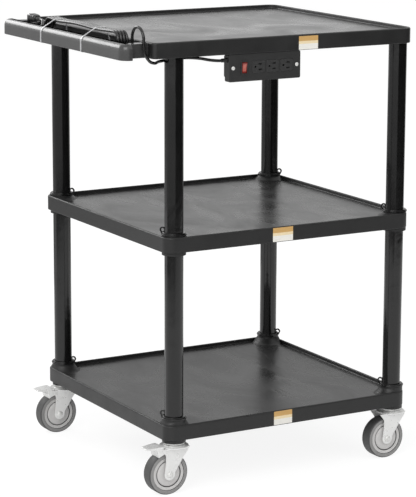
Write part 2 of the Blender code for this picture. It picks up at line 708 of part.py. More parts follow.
def outlet_housing(frame):
    """The rear body. Its front rim fills the cover's returns and takes the cover's screws."""
    rim_back = -COVER_DEPTH + OVERRUN
    rim_front = -COVER_WALL - GAP
    slack = 2 * (COVER_WALL + GAP)
    rim = centred(
        BOX_WIDTH - slack, BOX_HEIGHT - slack, rim_back, rim_front, COVER_CORNER_RADIUS - COVER_WALL
    )
    housing = piece("outlet_housing", rim, "box_plastic", parent=frame)
    body = centred(HOUSING_WIDTH, HOUSING_HEIGHT, -HOUSING_DEPTH, rim_back + OVERRUN, COVER_CORNER_RADIUS / 2)
    boolean(housing, body, "UNION")
    inner_height = HOUSING_HEIGHT - 2 * HOUSING_WALL
    inside = centred(HOUSING_WIDTH - 2 * HOUSING_WALL, inner_height, HOUSING_WALL - HOUSING_DEPTH, OVERRUN)
    boolean(housing, inside, "DIFFERENCE")
    screw_hole = cylinder(SCREW_RADIUS + GAP, -COVER_SCREW_LENGTH - GAP, OVERRUN, BOLT_SIDES)
    holes = [moved(screw_hole, at(side * COVER_SCREW_OFFSET, 0, 0)) for side in (-1, 1)]
    hung_from = inner_height / 2 - OVERRUN
    hung_hole = cylinder(SCREW_RADIUS + GAP, hung_from, HOUSING_HEIGHT / 2 + OVERRUN, BOLT_SIDES)
    turn = Matrix.Rotation(math.radians(-90), 4, "X")
    for side in (-1, 1):
        place = at(side * HOUSING_SCREW_OFFSET, 0, -HOUSING_SCREW_DEPTH)
        holes.append(moved(hung_hole, place @ turn))
    notch = block(
        (-BOX_WIDTH / 2, GLAND_RISE - GLAND_RADIUS, -COVER_DEPTH / 2 - GLAND_RADIUS),
        (-BOX_WIDTH / 2 + COVER_WALL + GAP + GLAND_INSIDE + GAP, GLAND_RISE + GLAND_RADIUS, OVERRUN),
    )
    holes.append(notch)
    boolean(housing, gathered(holes), "DIFFERENCE")


def cord_gland():
    """A bushing in the box's left return, its tip square to the cord that leaves it."""
    wall = COVER_WALL + GAP
    profile = [
        (0, GLAND_LENGTH), (GLAND_TIP_RADIUS, GLAND_LENGTH), (GLAND_NECK_RADIUS, GLAND_FLANGE),
        (GLAND_RADIUS, GLAND_FLANGE), (GLAND_RADIUS, 0), (GLAND_NECK_RADIUS, 0),
        (GLAND_NECK_RADIUS, -wall), (GLAND_NECK_RADIUS, -wall - GLAND_INSIDE), (0, -wall - GLAND_INSIDE),
    ]
    mesh = turned(profile, BOLT_SIDES)
    outwards = Matrix.Rotation(math.radians(-90), 4, "Y")
    mesh.transform(outwards)
    place = (BOX_CENTRE_X - BOX_WIDTH / 2 - GAP, BOX_FRONT + COVER_DEPTH / 2, BOX_CENTRE_Z + GLAND_RISE)
    piece("cord_gland", mesh, "cord_black", place)


def rocker_switch(frame):
    """A bezel through the cover and a rocker that tips about X in it."""
    wall = 2 * BEZEL_WALL
    sleeve = centred(SWITCH_WIDTH + wall, SWITCH_HEIGHT + wall, -BEZEL_DEPTH, BEZEL_RIM_HEIGHT / 2)
    bezel = piece("switch_bezel", sleeve, "box_plastic", (SWITCH_OFFSET, 0, 0), frame)
    reach = 2 * (BEZEL_WALL + BEZEL_RIM)
    rim = centred(SWITCH_WIDTH + reach, SWITCH_HEIGHT + reach, GAP, GAP + BEZEL_RIM_HEIGHT)
    boolean(bezel, rim, "UNION")
    boolean(bezel, centred(SWITCH_WIDTH, SWITCH_HEIGHT, -BEZEL_DEPTH - OVERRUN, OVERRUN), "DIFFERENCE")
    pin_length = SWITCH_WIDTH / 2 + BEZEL_WALL / 2
    hole_length = pin_length + GAP
    pin_hole = cylinder(ROCKER_PIN_RADIUS + RUNNING_GAP, -hole_length, hole_length, BOLT_SIDES)
    pivot = -ROCKER_HALF_DEPTH / 2
    boolean(bezel, moved(pin_hole, at(0, 0, pivot) @ Z_AXIS_TO_X), "DIFFERENCE")
    end_radius = SWITCH_HEIGHT / 2 - GAP
    half_angle = math.degrees(math.asin(ROCKER_HALF_DEPTH / end_radius))
    outline = arc((0, 0), end_radius, -half_angle, half_angle, 4)
    outline.append((0, ROCKER_HALF_DEPTH - ROCKER_DISH))
    outline += arc((0, 0), end_radius, 180 - half_angle, 180 + half_angle, 4)
    mesh = plate([outline], SWITCH_WIDTH - 2 * GAP)
    mesh.transform(Matrix.Rotation(ROCKER_TILT, 4, "X") @ X_AXIS_TO_Y)
    rocker = piece("rocker_switch", mesh, "switch_red", (SWITCH_OFFSET, 0, pivot), frame)
    pin = cylinder(ROCKER_PIN_RADIUS, -pin_length, pin_length, BOLT_SIDES)
    boolean(rocker, moved(pin, Z_AXIS_TO_X), "UNION")


def receptacle(name, offset, frame):
    """A socket with its slots turned on their side, and a flange that seats behind the cover."""
    body = centred(
        RECEPTACLE_WIDTH, RECEPTACLE_HEIGHT, -RECEPTACLE_DEPTH, RECEPTACLE_PROUD, RECEPTACLE_CORNER_RADIUS
    )
    socket = piece(name, body, "receptacle_black", (offset, 0, 0), frame)
    seat = -COVER_WALL - GAP
    flange = centred(
        RECEPTACLE_WIDTH + 2 * RECEPTACLE_FLANGE, RECEPTACLE_HEIGHT + 2 * RECEPTACLE_FLANGE,
        seat - RECEPTACLE_FLANGE_HEIGHT, seat,
    )
    boolean(socket, flange, "UNION")
    slot = block((-SLOT_LENGTH / 2, -SLOT_WIDTH / 2, -SLOT_DEPTH), (SLOT_LENGTH / 2, SLOT_WIDTH / 2, OVERRUN))
    holes = [moved(slot, at(SLOT_SHIFT, side * SLOT_PITCH / 2, 0)) for side in (-1, 1)]
    ground_hole = cylinder(GROUND_HOLE_RADIUS, -SLOT_DEPTH, OVERRUN, BOLT_SIDES)
    holes.append(moved(ground_hole, at(-GROUND_SHIFT, 0, 0)))
    boolean(socket, gathered(holes), "DIFFERENCE")


def caster(name, x, y, braked):
    """One caster: a fixed mount, a fork that swivels about the leg's axis, and a wheel on its axle."""
    swivel = empty(f"swivel_{name}", (x, y, 0))
    caster_mount(f"caster_mount_{name}", swivel)
    caster_fork(f"caster_fork_{name}", swivel, braked)
    axle = empty(f"axle_line_{name}", (-WHEEL_TRAIL, 0, WHEEL_RADIUS), swivel)
    caster_axle(f"caster_axle_{name}", axle)
    wheel(name, axle)
    if braked:
        brake_pedal(f"brake_pedal_{name}", swivel)


def caster_mount(name, swivel):
    """Stem, cap and king pin in one: it stays with the shelf while the fork turns about its pin."""
    head_top = CROWN_BOTTOM - GAP
    head_bottom = head_top - KING_HEAD_HEIGHT
    profile = [
        (0, CAP_TOP + STEM_LENGTH), (STEM_RADIUS, CAP_TOP + STEM_LENGTH), (STEM_RADIUS, CAP_TOP),
        (CAP_RADIUS, CAP_TOP), (CAP_RADIUS, CAP_BOTTOM), (BEARING_RADIUS, CAP_BOTTOM),
        (BEARING_RADIUS, BEARING_BOTTOM), (KING_PIN_RADIUS, BEARING_BOTTOM), (KING_PIN_RADIUS, head_top),
        (KING_HEAD_RADIUS, head_top), (KING_HEAD_RADIUS, head_bottom), (0, head_bottom),
    ]
    piece(name, turned(profile, LEG_SIDES), "zinc", parent=swivel)


def fork_outline():
    """The side plate's outline about the axle, and its lobe round it."""
    height = CROWN_BOTTOM + CROWN_THICKNESS / 2 - WHEEL_RADIUS
    front = [(x * WHEEL_RADIUS, z * height) for x, z in FORK_FRONT_SHARES]
    rear = [(x * WHEEL_RADIUS, z * height) for x, z in FORK_REAR_SHARES]
    return front + arc((0, 0), FORK_LOBE_RADIUS, 15, -195, 7) + rear


def caster_fork(name, swivel, braked):
    hole = KING_PIN_RADIUS + RUNNING_GAP
    profile = [
        (hole, RACE_TOP), (RACE_RADIUS, RACE_TOP), (CROWN_RADIUS, CROWN_TOP), (CROWN_RADIUS, CROWN_BOTTOM),
        (hole, CROWN_BOTTOM),
    ]
    fork = piece(name, turned(profile, LEG_SIDES), "zinc", parent=swivel)
    offset = HUB_BOSS_HALF_WIDTH + GAP + FORK_THICKNESS / 2
    side_plate = plate([fork_outline()], FORK_THICKNESS)
    sides = [moved(side_plate, at(-WHEEL_TRAIL, side * offset, WHEEL_RADIUS)) for side in (-1, 1)]
    boolean(fork, gathered(sides), "UNION")
    reach = offset + FORK_THICKNESS
    axle_hole = cylinder(AXLE_RADIUS + GAP, -reach, reach, BOLT_SIDES)
    holes = [moved(axle_hole, at(-WHEEL_TRAIL, 0, WHEEL_RADIUS) @ Z_AXIS_TO_Y)]
    if braked:
        pin_hole = cylinder(PEDAL_PIN_RADIUS + RUNNING_GAP, -reach, reach, BOLT_SIDES)
        holes.append(moved(pin_hole, at(-PEDAL_PIN_BACK, 0, CROWN_BOTTOM - PEDAL_PIN_DROP) @ Z_AXIS_TO_Y))
    boolean(fork, gathered(holes), "DIFFERENCE")


def caster_axle(name, axle):
    """A riveted axle through the fork and the hub, with a head at each end."""
    seat = HUB_BOSS_HALF_WIDTH + GAP + FORK_THICKNESS + GAP
    end = seat + AXLE_HEAD_HEIGHT
    half = [
        (0, end), (AXLE_HEAD_RADIUS * AXLE_HEAD_TOP_SHARE, end), (AXLE_HEAD_RADIUS, seat), (AXLE_RADIUS, seat)
    ]
    profile = half + [(radius, -height) for radius, height in reversed(half)]
    piece(name, moved(turned(profile, BOLT_SIDES), Z_AXIS_TO_Y), "bright_steel", parent=axle)


def wheel(name, axle):
    """A hub with a ring, a groove and a crowned cover on each face, and a tyre round it."""
    cover = HUB_RING_RADIUS - HUB_GROOVE_WIDTH
    half = [
        (HUB_RADIUS, HUB_HALF_WIDTH), (HUB_RING_RADIUS, HUB_HALF_WIDTH),
        (HUB_RING_RADIUS - HUB_GROOVE_WIDTH / 2, HUB_HALF_WIDTH - HUB_GROOVE_DEPTH), (cover, HUB_HALF_WIDTH),
        (HUB_BOSS_RADIUS, HUB_HALF_WIDTH + HUB_CROWN), (HUB_BOSS_RADIUS, HUB_BOSS_HALF_WIDTH),
        (AXLE_RADIUS + RUNNING_GAP, HUB_BOSS_HALF_WIDTH),
    ]
    hub = turned([(radius, -width) for radius, width in half] + half[::-1], WHEEL_SIDES)
    piece(f"wheel_hub_{name}", moved(hub, Z_AXIS_TO_Y), "hub_grey", parent=axle)
    seat = (HUB_RADIUS + GAP) / math.cos(math.pi / TYRE_SIDES)
    half = [
        (WHEEL_RADIUS, WHEEL_HALF_WIDTH - TYRE_EDGE), (WHEEL_RADIUS - TYRE_EDGE, WHEEL_HALF_WIDTH),
        (seat, WHEEL_HALF_WIDTH),
    ]
    tyre = turned([(radius, -width) for radius, width in half] + half[::-1], TYRE_SIDES)
    piece(f"wheel_tyre_{name}", moved(tyre, Z_AXIS_TO_Y), "tyre_grey", parent=axle)


def pedal_skirt(side, shoulder):
    """The turned-down edge of one side, deepest near the pin and drawn in towards the tip with the plate."""
    under = PEDAL_RISE - PEDAL_THICKNESS / 2
    tip = -PEDAL_REACH + PEDAL_THICKNESS
    tip_z = under - PEDAL_TIP_DROP
    barrel = PEDAL_BARREL_RADIUS
    back = shoulder + 2 * PEDAL_THICKNESS
    outline = [(0, -barrel), (0, 0), (back, 0), (back, under), (shoulder, under), (tip, tip_z)]
    depth = tip_z - PEDAL_THICKNESS / 2 + barrel
    outline += [(tip * x, tip_z - PEDAL_THICKNESS / 2 - depth * z) for x, z in reversed(SKIRT_DROP_SHARES)]
    mesh = plate([outline], SKIRT_THICKNESS)
    for vertex in mesh.vertices:
        along = max(0, (shoulder - vertex.co.x) / (shoulder + PEDAL_REACH))
        width = HUB_BOSS_HALF_WIDTH * (1 - (1 - PEDAL_TIP_WIDTH_SHARE) * along)
        vertex.co.y += side * (width - SKIRT_THICKNESS / 2 - GAP)
    return mesh


def brake_pedal(name, swivel):
    """A pedal on a cross pin behind the crown, its shoe down on the tyre."""
    pin_z = CROWN_BOTTOM - PEDAL_PIN_DROP
    half_width = HUB_BOSS_HALF_WIDTH
    top = PEDAL_RISE
    barrel = PEDAL_BARREL_RADIUS
    rim = PEDAL_PIN_BACK - CROWN_RADIUS - OVERRUN
    tip = -PEDAL_REACH
    shoe = []
    for i in range(SHOE_STEPS + 1):
        x = -SHOE_FRONT_BACK + (SHOE_FRONT_BACK - SHOE_BACK) * i / SHOE_STEPS
        from_axle = WHEEL_TRAIL - PEDAL_PIN_BACK + x
        z = WHEEL_RADIUS + math.sqrt((WHEEL_RADIUS + RUNNING_GAP) ** 2 - from_axle**2) - pin_z
        shoe.append((x, z))
    outline = arc((0, 0), barrel, -60, 90, 4)
    outline += [
        (rim, barrel), (rim - PEDAL_THICKNESS / 2, top), (rim - 3 * PEDAL_THICKNESS, top),
        (tip, top - PEDAL_TIP_DROP), (tip, top - PEDAL_TIP_DROP - PEDAL_THICKNESS),
        (-SHOE_FRONT_BACK - PEDAL_THICKNESS, top - 2 * PEDAL_THICKNESS),
    ]
    outline += shoe
    mesh = plate([outline], 2 * half_width)
    for vertex in mesh.vertices:
        if vertex.co.x < tip + PEDAL_THICKNESS:
            vertex.co.y *= PEDAL_TIP_WIDTH_SHARE
    pedal = piece(name, mesh, "zinc", (-PEDAL_PIN_BACK, 0, pin_z), swivel)
    boolean(pedal, gathered([pedal_skirt(side, rim - 3 * PEDAL_THICKNESS) for side in (-1, 1)]), "UNION")
    reach = HUB_BOSS_HALF_WIDTH + GAP + FORK_THICKNESS
    pin = cylinder(PEDAL_PIN_RADIUS, -reach, reach, BOLT_SIDES)
    boolean(pedal, moved(pin, Z_AXIS_TO_Y), "UNION")


def smooth_route(points, spacing):
    """Points at an even spacing along a smooth curve through the given ones."""
    points = [Vector(p) for p in points]
    padded = [2 * points[0] - points[1], *points, 2 * points[-1] - points[-2]]
    fine = []
    for a, b, c, d in zip(padded, padded[1:], padded[2:], padded[3:]):
        for t in np.linspace(0, 1, 12, endpoint=False):
            bend = (2 * a - 5 * b + 4 * c - d) * t**2 + (3 * b - a - 3 * c + d) * t**3
            fine.append((2 * b + (c - a) * t + bend) / 2)
    fine.append(points[-1])
    fine = np.array(fine)
    along = np.concatenate(([0], np.cumsum(np.linalg.norm(np.diff(fine, axis=0), axis=1))))
    count = round(along[-1] / spacing)
    places = np.linspace(0, along[-1], count + 1)
    return [tuple(np.interp(s, along, fine[:, k]) for k in range(3)) for s in places]


def hank_column(k):
    return HANK_FIRST_X - k * HANK_PITCH


def cord_route():
    """From the gland, behind the front left leg, up past the near arm and over it, down into the hand gap."""
    start = (
        BOX_CENTRE_X - BOX_WIDTH / 2 - GAP - GLAND_LENGTH - GAP,
        BOX_FRONT + COVER_DEPTH / 2,
        BOX_CENTRE_Z + GLAND_RISE,
    )
    points = [start, (start[0] - CORD_DIAMETER, start[1], start[2])]
    points += [
        (-0.1630, -0.3110, 1.0190), (-0.1840, -0.3020, 1.0230), (-0.2090, -0.2840, 1.0240),
        (-0.2330, -0.2695, 1.0210), (-0.2536, -0.2665, 1.0190), (-0.2770, -0.2760, 1.0180),
        (-0.2980, -0.2975, 1.0180), (-0.3170, -0.3080, 1.0245), (-0.3295, -0.3092, 1.0420),
        (-0.3321, -0.3090, 1.0600), (-0.3321, -0.3072, 1.0820), (-0.3321, -0.2970, 1.0955),
        (-0.3321, -0.2810, 1.1000), (-0.3321, -0.2650, 1.0955), (-0.3321, -0.2548, 1.0820),
        (-0.3318, -0.2528, 1.0640), (-0.3295, -0.2480, 1.0500), (-0.3255, -0.2360, 1.0428),
    ]
    end = (HANK_FIRST_X, HANK_NEAR - GAP, HANK_HEIGHT - HANK_FOLD_RADIUS)
    points += [(end[0], end[1] - 2 * CORD_DIAMETER, end[2]), (end[0], end[1] - CORD_DIAMETER, end[2]), end]
    return smooth_route(points, CORD_STEP)


def hank_run(k, near_to_far, level):
    """Points of one run, drawn in at each strap. Only a run to the far end steps to the next column."""
    length = HANK_FAR - HANK_NEAR
    shares = [0] + [(place - HANK_NEAR) / length for place in STRAP_PLACES] + [1]
    shares.insert(2, sum(shares[1:3]) / 2)
    points = []
    for i, share in enumerate(shares):
        drawn = HANK_DRAW if i in (1, 3) else 0
        climb = min(max(i - 1, 0), 2) / 2 if near_to_far else 1
        x = hank_column(k + climb)
        points.append((x, HANK_NEAR + share * length, HANK_HEIGHT + level * (HANK_FOLD_RADIUS - drawn)))
    return points if near_to_far else points[::-1]


def hank_fold(column, y, turn):
    """The inner points of a half turn: turn is 1 at the far end, going up, and -1 at the near end."""
    start = -90 * turn
    half_turn = arc((y, HANK_HEIGHT), HANK_FOLD_RADIUS, start, start + 180, 8)
    return [(hank_column(column), *point) for point in half_turn[1:-1]]


def hank_route():
    """Loops side by side along X, the lower runs going to the far end, then the lead up to the plug."""
    points = []
    for k in range(HANK_LOOPS):
        points += hank_run(k, True, -1)
        points += hank_fold(k + 1, HANK_FAR, 1)
        points += hank_run(k, False, 1)
        points += hank_fold(k + 1, HANK_NEAR, -1)
    points += hank_run(HANK_LOOPS, True, -1)[:-1]
    return points + plug_lead()


def ease(t):
    t = min(max(t, 0), 1)
    return t * t * (3 - 2 * t)


def plug_lead():
    """The last run rises past the far folds and shifts across to the plug, and ends straight."""
    x0 = hank_column(HANK_LOOPS + 1)
    z0 = HANK_HEIGHT - HANK_FOLD_RADIUS
    y0 = HANK_FAR - LEAD_START_BACK
    points = []
    for i in range(LEAD_STEPS + 1):
        y = y0 + LEAD_LENGTH * i / LEAD_STEPS
        lift = ease(i / LEAD_STEPS)
        shift = ease((y - (y0 + LEAD_LENGTH - LEAD_SHIFT_LENGTH)) / LEAD_SHIFT_LENGTH)
        points.append((x0 + (PLUG_X - x0) * shift, y, z0 + (PLUG_Z - z0) * lift))
    return points + [(PLUG_X, plug_start() - GAP, PLUG_Z)]


def plug_start():
    return HANK_FAR - LEAD_START_BACK + LEAD_LENGTH + CORD_DIAMETER + GAP


def least_gap(points, radius):
    """The least clear distance between stretches of a tube that aren't neighbours along it."""
    fine = []
    for a, b in zip(points, points[1:]):
        steps = max(2, round(math.dist(a, b) / radius))
        for i in range(steps):
            fine.append([a[k] + (b[k] - a[k]) * i / steps for k in range(3)])
    fine = np.array(fine)
    along = np.concatenate(([0], np.cumsum(np.linalg.norm(np.diff(fine, axis=0), axis=1))))
    least = math.inf
    for i in range(len(fine)):
        far = along - along[i] > math.pi * HANK_FOLD_RADIUS / 2
        if far.any():
            least = min(least, np.linalg.norm(fine[far] - fine[i], axis=1).min())
    return least - 2 * radius


def cord():
    route = cord_route()
    hank = hank_route()
    piece("power_cord", tube(route, CORD_RADIUS, CORD_STEPS), "cord_black")
    piece("cord_hank", tube(hank, CORD_RADIUS, HANK_STEPS), "cord_black")
    length = sum(math.dist(a, b) for line in (route, hank) for a, b in zip(line, line[1:]))
    print(f"cord length {length:.3f} m")
    print(f"least gap of the hank to itself {1000 * least_gap(hank, CORD_RADIUS):.2f} mm")
    plug()
    for i, place in enumerate(STRAP_PLACES):
        strap(f"cord_strap_{i + 1}", place)
    cord_tie(route)


def plug():
    """The plug's body with its tail to the cord, and its blades and earth pin seated in it."""
    tail_end = plug_start()
    back = tail_end + PLUG_TAIL
    front = back + PLUG_LENGTH
    along_y = Matrix.Rotation(math.radians(-90), 4, "X")
    shell = block(
        (-PLUG_WIDTH / 2, -PLUG_HEIGHT / 2, 0), (PLUG_WIDTH / 2, PLUG_HEIGHT / 2, PLUG_LENGTH),
        (PLUG_ROUNDING, PLUG_ROUNDING), OVERRUN, 3,
    )
    body = piece("power_plug", moved(shell, along_y), "cord_black", (PLUG_X, back, PLUG_Z))
    tail = turned([
        (0, OVERRUN), (PLUG_TAIL_RADIUS, OVERRUN), (CORD_RADIUS, -PLUG_TAIL), (0, -PLUG_TAIL)
    ], BOLT_SIDES)
    boolean(body, moved(tail, along_y), "UNION")
    places = {
        "blade_left": (-SLOT_PITCH / 2, -SLOT_SHIFT),
        "blade_right": (SLOT_PITCH / 2, -SLOT_SHIFT),
        "earth_pin": (0, GROUND_SHIFT),
    }
    seats = []
    for name, (x, z) in places.items():
        seat = contact(name, GAP, PLUG_LENGTH + OVERRUN)
        seats.append(moved(seat, at(x, 0, z) @ along_y))
        mesh = moved(contact(name, 0, PLUG_LENGTH + BLADE_LENGTH), along_y)
        piece(f"plug_{name}", mesh, "bright_steel", (PLUG_X + x, back, PLUG_Z + z))
    boolean(body, gathered(seats), "DIFFERENCE")


def contact(name, grow, front):
    """A flat blade or the round pin, seated in the plug's body, grown all round to cut its seat."""
    back = PLUG_LENGTH - BLADE_SEAT - grow
    if name == "earth_pin":
        return cylinder(EARTH_PIN_RADIUS + grow, back, front, BOLT_SIDES)
    half_thickness = BLADE_THICKNESS / 2 + grow
    half_width = BLADE_WIDTH / 2 + grow
    return block((-half_thickness, -half_width, back), (half_thickness, half_width, front))


def strap(name, place):
    """A thin band round the rail and the hank's runs, pulled tight between them."""
    corner = RAIL_BOTTOM_ROUNDING
    circles = [
        (RAIL_OUTER + RAIL_ROUNDING, TOP_LIP - RAIL_ROUNDING, RAIL_ROUNDING),
        (RAIL_OUTER + corner, TOP_APRON_BOTTOM + corner, corner),
        (RAIL_INNER - corner, TOP_APRON_BOTTOM + corner, corner),
    ]
    for level, near_to_far in ((-1, True), (1, False)):
        for k in range(HANK_LOOPS + (1 if near_to_far else 0)):
            run = np.array(sorted(hank_run(k, near_to_far, level), key=lambda point: point[1]))
            for y in (place - STRAP_WIDTH / 2, place, place + STRAP_WIDTH / 2):
                x, z = (np.interp(y, run[:, 1], run[:, axis]) for axis in (0, 2))
                circles.append((x, z, CORD_RADIUS))
    outlines = []
    for spread in (GAP + STRAP_THICKNESS, GAP):
        cloud = []
        for x, z, radius in circles:
            cloud += arc((x, z), radius + spread, 0, 345, 23)
        outlines.append([cloud[i] for i in convex_hull_2d([Vector(point) for point in cloud])])
    piece(name, plate(outlines, STRAP_WIDTH), "clear_film", (0, place, 0))


def cord_tie(route):
    """A small tie round the rising stretch, square to it, with its tail to the front."""
    place = round(TIE_PLACE_SHARE * len(route))
    low, high = (Vector(point) for point in route[place:place + 2])
    turn = Vector((0, 0, 1)).rotation_difference(high - low).to_matrix().to_4x4()
    inner = CORD_RADIUS + GAP
    outer = inner + TIE_THICKNESS
    half = TIE_WIDTH / 2
    ring = turned([(outer, half), (outer, -half), (inner, -half), (inner, half)], BOLT_SIDES)
    tie = piece("cord_tie", moved(ring, turn), "cord_black", (low + high) / 2)
    low = (-TIE_THICKNESS / 2, -outer - TIE_TAIL, -TIE_WIDTH / 3)
    high = (TIE_THICKNESS / 2, -inner - GAP, TIE_WIDTH / 3)
    tail = block(low, high)
    boolean(tie, moved(tail, turn), "UNION")


def main():
    global parts, cutters
    for obj in list(bpy.data.objects):
        bpy.data.objects.remove(obj)
    parts = new_collection("utility_cart")
    cutters = new_collection("cutters")
    for name in MATERIALS:
        new_material(name)
    top_shelf()
    lower_shelf("middle_shelf", MIDDLE_LIP, MIDDLE_POST_RISE, LEG_RADIUS + GAP, SOCKET_DEPTH)
    lower_shelf("bottom_shelf", BOTTOM_LIP, BOTTOM_POST_RISE, STEM_RADIUS + GAP, STEM_LENGTH + GAP)
    legs()
    push_handle()
    outlet_box()
    for name, (x, y) in leg_places().items():
        caster(name, x, y, braked=name.endswith("left"))
    cord()


main()
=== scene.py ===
"""A three-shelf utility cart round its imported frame. Metres, +Z up, handle at -X, outlet box at -Y."""
from contextlib import contextmanager
from math import asin, atan2, cos, degrees, dist, hypot, pi, radians, sin, sqrt, tan

import bmesh
import bpy
import numpy as np
from mathutils import Matrix, Vector
from mathutils.geometry import convex_hull_2d

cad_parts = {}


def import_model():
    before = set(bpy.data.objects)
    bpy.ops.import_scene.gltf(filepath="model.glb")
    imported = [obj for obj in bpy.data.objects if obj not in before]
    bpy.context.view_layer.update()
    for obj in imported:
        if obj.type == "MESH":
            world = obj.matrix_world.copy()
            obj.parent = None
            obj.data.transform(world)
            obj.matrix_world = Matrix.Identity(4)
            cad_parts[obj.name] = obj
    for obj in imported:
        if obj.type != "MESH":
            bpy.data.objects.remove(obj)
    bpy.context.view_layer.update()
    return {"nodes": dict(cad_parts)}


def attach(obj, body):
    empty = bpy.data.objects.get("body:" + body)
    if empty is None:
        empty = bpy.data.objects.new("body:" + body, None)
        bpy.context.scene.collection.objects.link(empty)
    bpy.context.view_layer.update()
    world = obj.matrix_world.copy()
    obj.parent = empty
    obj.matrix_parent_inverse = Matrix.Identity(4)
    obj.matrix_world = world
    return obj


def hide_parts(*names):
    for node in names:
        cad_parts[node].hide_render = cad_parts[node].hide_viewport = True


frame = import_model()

GAP = 0.0003
OVERRUN = 0.002

# Legs
GRID_X = 0.0589
LEG_X = 0.3063
LEG_Y = 0.2952
LEG_RADIUS = 0.022
LEG_WALL = 0.0035
SOCKET_DEPTH = 0.016
FLANGE_RADIUS = 0.030
FLANGE_STEP_RADIUS = 0.0275
FLANGE_HEIGHT = 0.0055
FLANGE_STEP_HEIGHT = 0.003
FLANGE_EDGE = 0.0008
EYELET_RADIUS = 0.0072
EYELET_HOLE_RADIUS = 0.0036
EYELET_THICKNESS = 0.004
EYELET_EDGE = 0.0006
EYELET_REACH = 0.0270
EYELET_RISE = 0.0045
EYELET_TURN = -45
CORNERS = {"front_left": (-1, -1), "front_right": (1, -1), "back_left": (-1, 1), "back_right": (1, 1)}
PLACES = {name: (GRID_X + sx * LEG_X, sy * LEG_Y) for name, (sx, sy) in CORNERS.items()}

# Shelves
TOP_LIP = 1.0668
MIDDLE_LIP = 0.6167
BOTTOM_LIP = 0.1686
SHELF_LEFT = -0.2814
TOP_LEFT = -0.3161
SHELF_RIGHT = 0.3936
SHELF_HALF_Y = 0.3261
SHELF_HEIGHT = 0.0366
SHELF_CORNER = 0.030
SHELF_CORNER_LEFT = 0.027
TOP_CORNER_LEFT = 0.012
SMALLEST_CORNER = 0.0004
LIP_WIDTH = 0.007
LIP_HEIGHT = 0.0095
LIP_EDGE = 0.0034
LIP_INNER_EDGE = 0.0022
DECK_THICKNESS = 0.0045
DECK_FILLET = 0.003
APRON_WALL = 0.004
APRON_EDGE = 0.0018
RIB_THICKNESS = 0.004
POST_RADIUS = 0.0272
POST_HEAD_RADIUS = 0.0282
POST_HEAD_EDGE = 0.0014
BOTTOM_POST_RISE = 0.012
MIDDLE_POST_RISE = 0.002
BOSS_RADIUS = 0.0283
BOSS_DROP = 0.008
FLARE_REACH = 0.020
FLARE_DROP = 0.001
LABEL_THICKNESS = 0.0002
LABEL_SHARES = (0, 0.42, 0.63, 1)
LABEL_TONES = {"white": (0.94, 0.92, 0.86), "cream": (0.94, 0.78, 0.50), "ochre": (0.66, 0.40, 0.14)}

# Push handle
RAIL_OUTER = -0.3936
RAIL_WIDTH = 0.025
RAIL_END_RADIUS = 0.0245
RAIL_CORNER = 0.002
RAIL_ROUNDING = 0.0115
RAIL_FALL = 1.4
ARM_OUTER = 0.303
ARM_THICKNESS = 0.025
ARM_EDGE = 0.0015

# Outlet box
BOX_X = -0.023
BOX_FRONT = -0.3236
BOX_Z = 0.9979
BOX_WIDTH = 0.192
BOX_SIZE = (BOX_WIDTH, 0.064)
COVER_DEPTH = 0.020
COVER_WALL = 0.0025
COVER_CORNER = 0.004
HOUSING_DEPTH = 0.050
HOUSING_WALL = 0.003
SWITCH_OFFSET = -0.0557
SWITCH_SIZE = (0.0135, 0.026)
BEZEL_WALL = 0.0014
ROCKER_PIVOT = -0.002
ROCKER_FACE = 0.004
ROCKER_TIP = 8
RECEPTACLE_OFFSETS = (-0.0176, 0.0199, 0.0574)
RECEPTACLE_SIZE = (0.034, 0.028)
RECEPTACLE_CORNER = 0.003
WINDOW_SEAM = 0.0004
SLOT_DEPTH = 0.014
SLOT_PITCH = 0.0127
SLOT_SHIFT = 0.004
GROUND_SHIFT = 0.0079
SCREW_OFFSET = 0.0854
GLAND_LENGTH = 0.0144
GLAND_RISE = 0.0185

# Casters
WHEEL_RADIUS = 0.0508
WHEEL_TRAIL = 0.0225
HUB_HALF_WIDTH = 0.015
RING_OUTER = 0.0402
RING_INNER = 0.0325
TYRE_BORE = 0.0409
TYRE_HALF_WIDTH = 0.016
TREAD_START = 0.0476
CROWN_BOTTOM = 0.1125
CROWN_RADIUS = 0.035
CROWN_HOLE = 0.0084
RACE_TOP = CROWN_BOTTOM + 0.005
CAP_BOTTOM = 0.1207
CAP_TOP = 0.1237
STEM_RADIUS = 0.006
STEM_LENGTH = 0.022
FORK_INNER = 0.020
FORK_THICKNESS = 0.0025
FORK_FRONT = ((1.04, 1.0), (0.93, 0.84), (0.72, 0.62), (0.46, 0.30))
FORK_REAR = ((-0.20, 0.45), (-0.20, 0.74), (-0.30, 0.85), (-0.45, 1.0))
PEDAL_BACK = 0.030
PEDAL_Z = 0.1065
PEDAL_HALF_WIDTH = 0.0197
PEDAL_TOP = 0.0135
PEDAL_THICKNESS = 0.0028
PEDAL_BARREL = 0.0045
PEDAL_TIP = -0.050
PEDAL_SLOPE = 0.0025
PEDAL_RIM = PEDAL_BACK - CROWN_RADIUS - OVERRUN
SKIRT_THICKNESS = 0.0016
SKIRT_DROPS = ((0.78, 0.16), (0.64, 0.40), (0.5, 0.62), (0.37, 0.79), (0.25, 0.9), (0.12, 0.975))

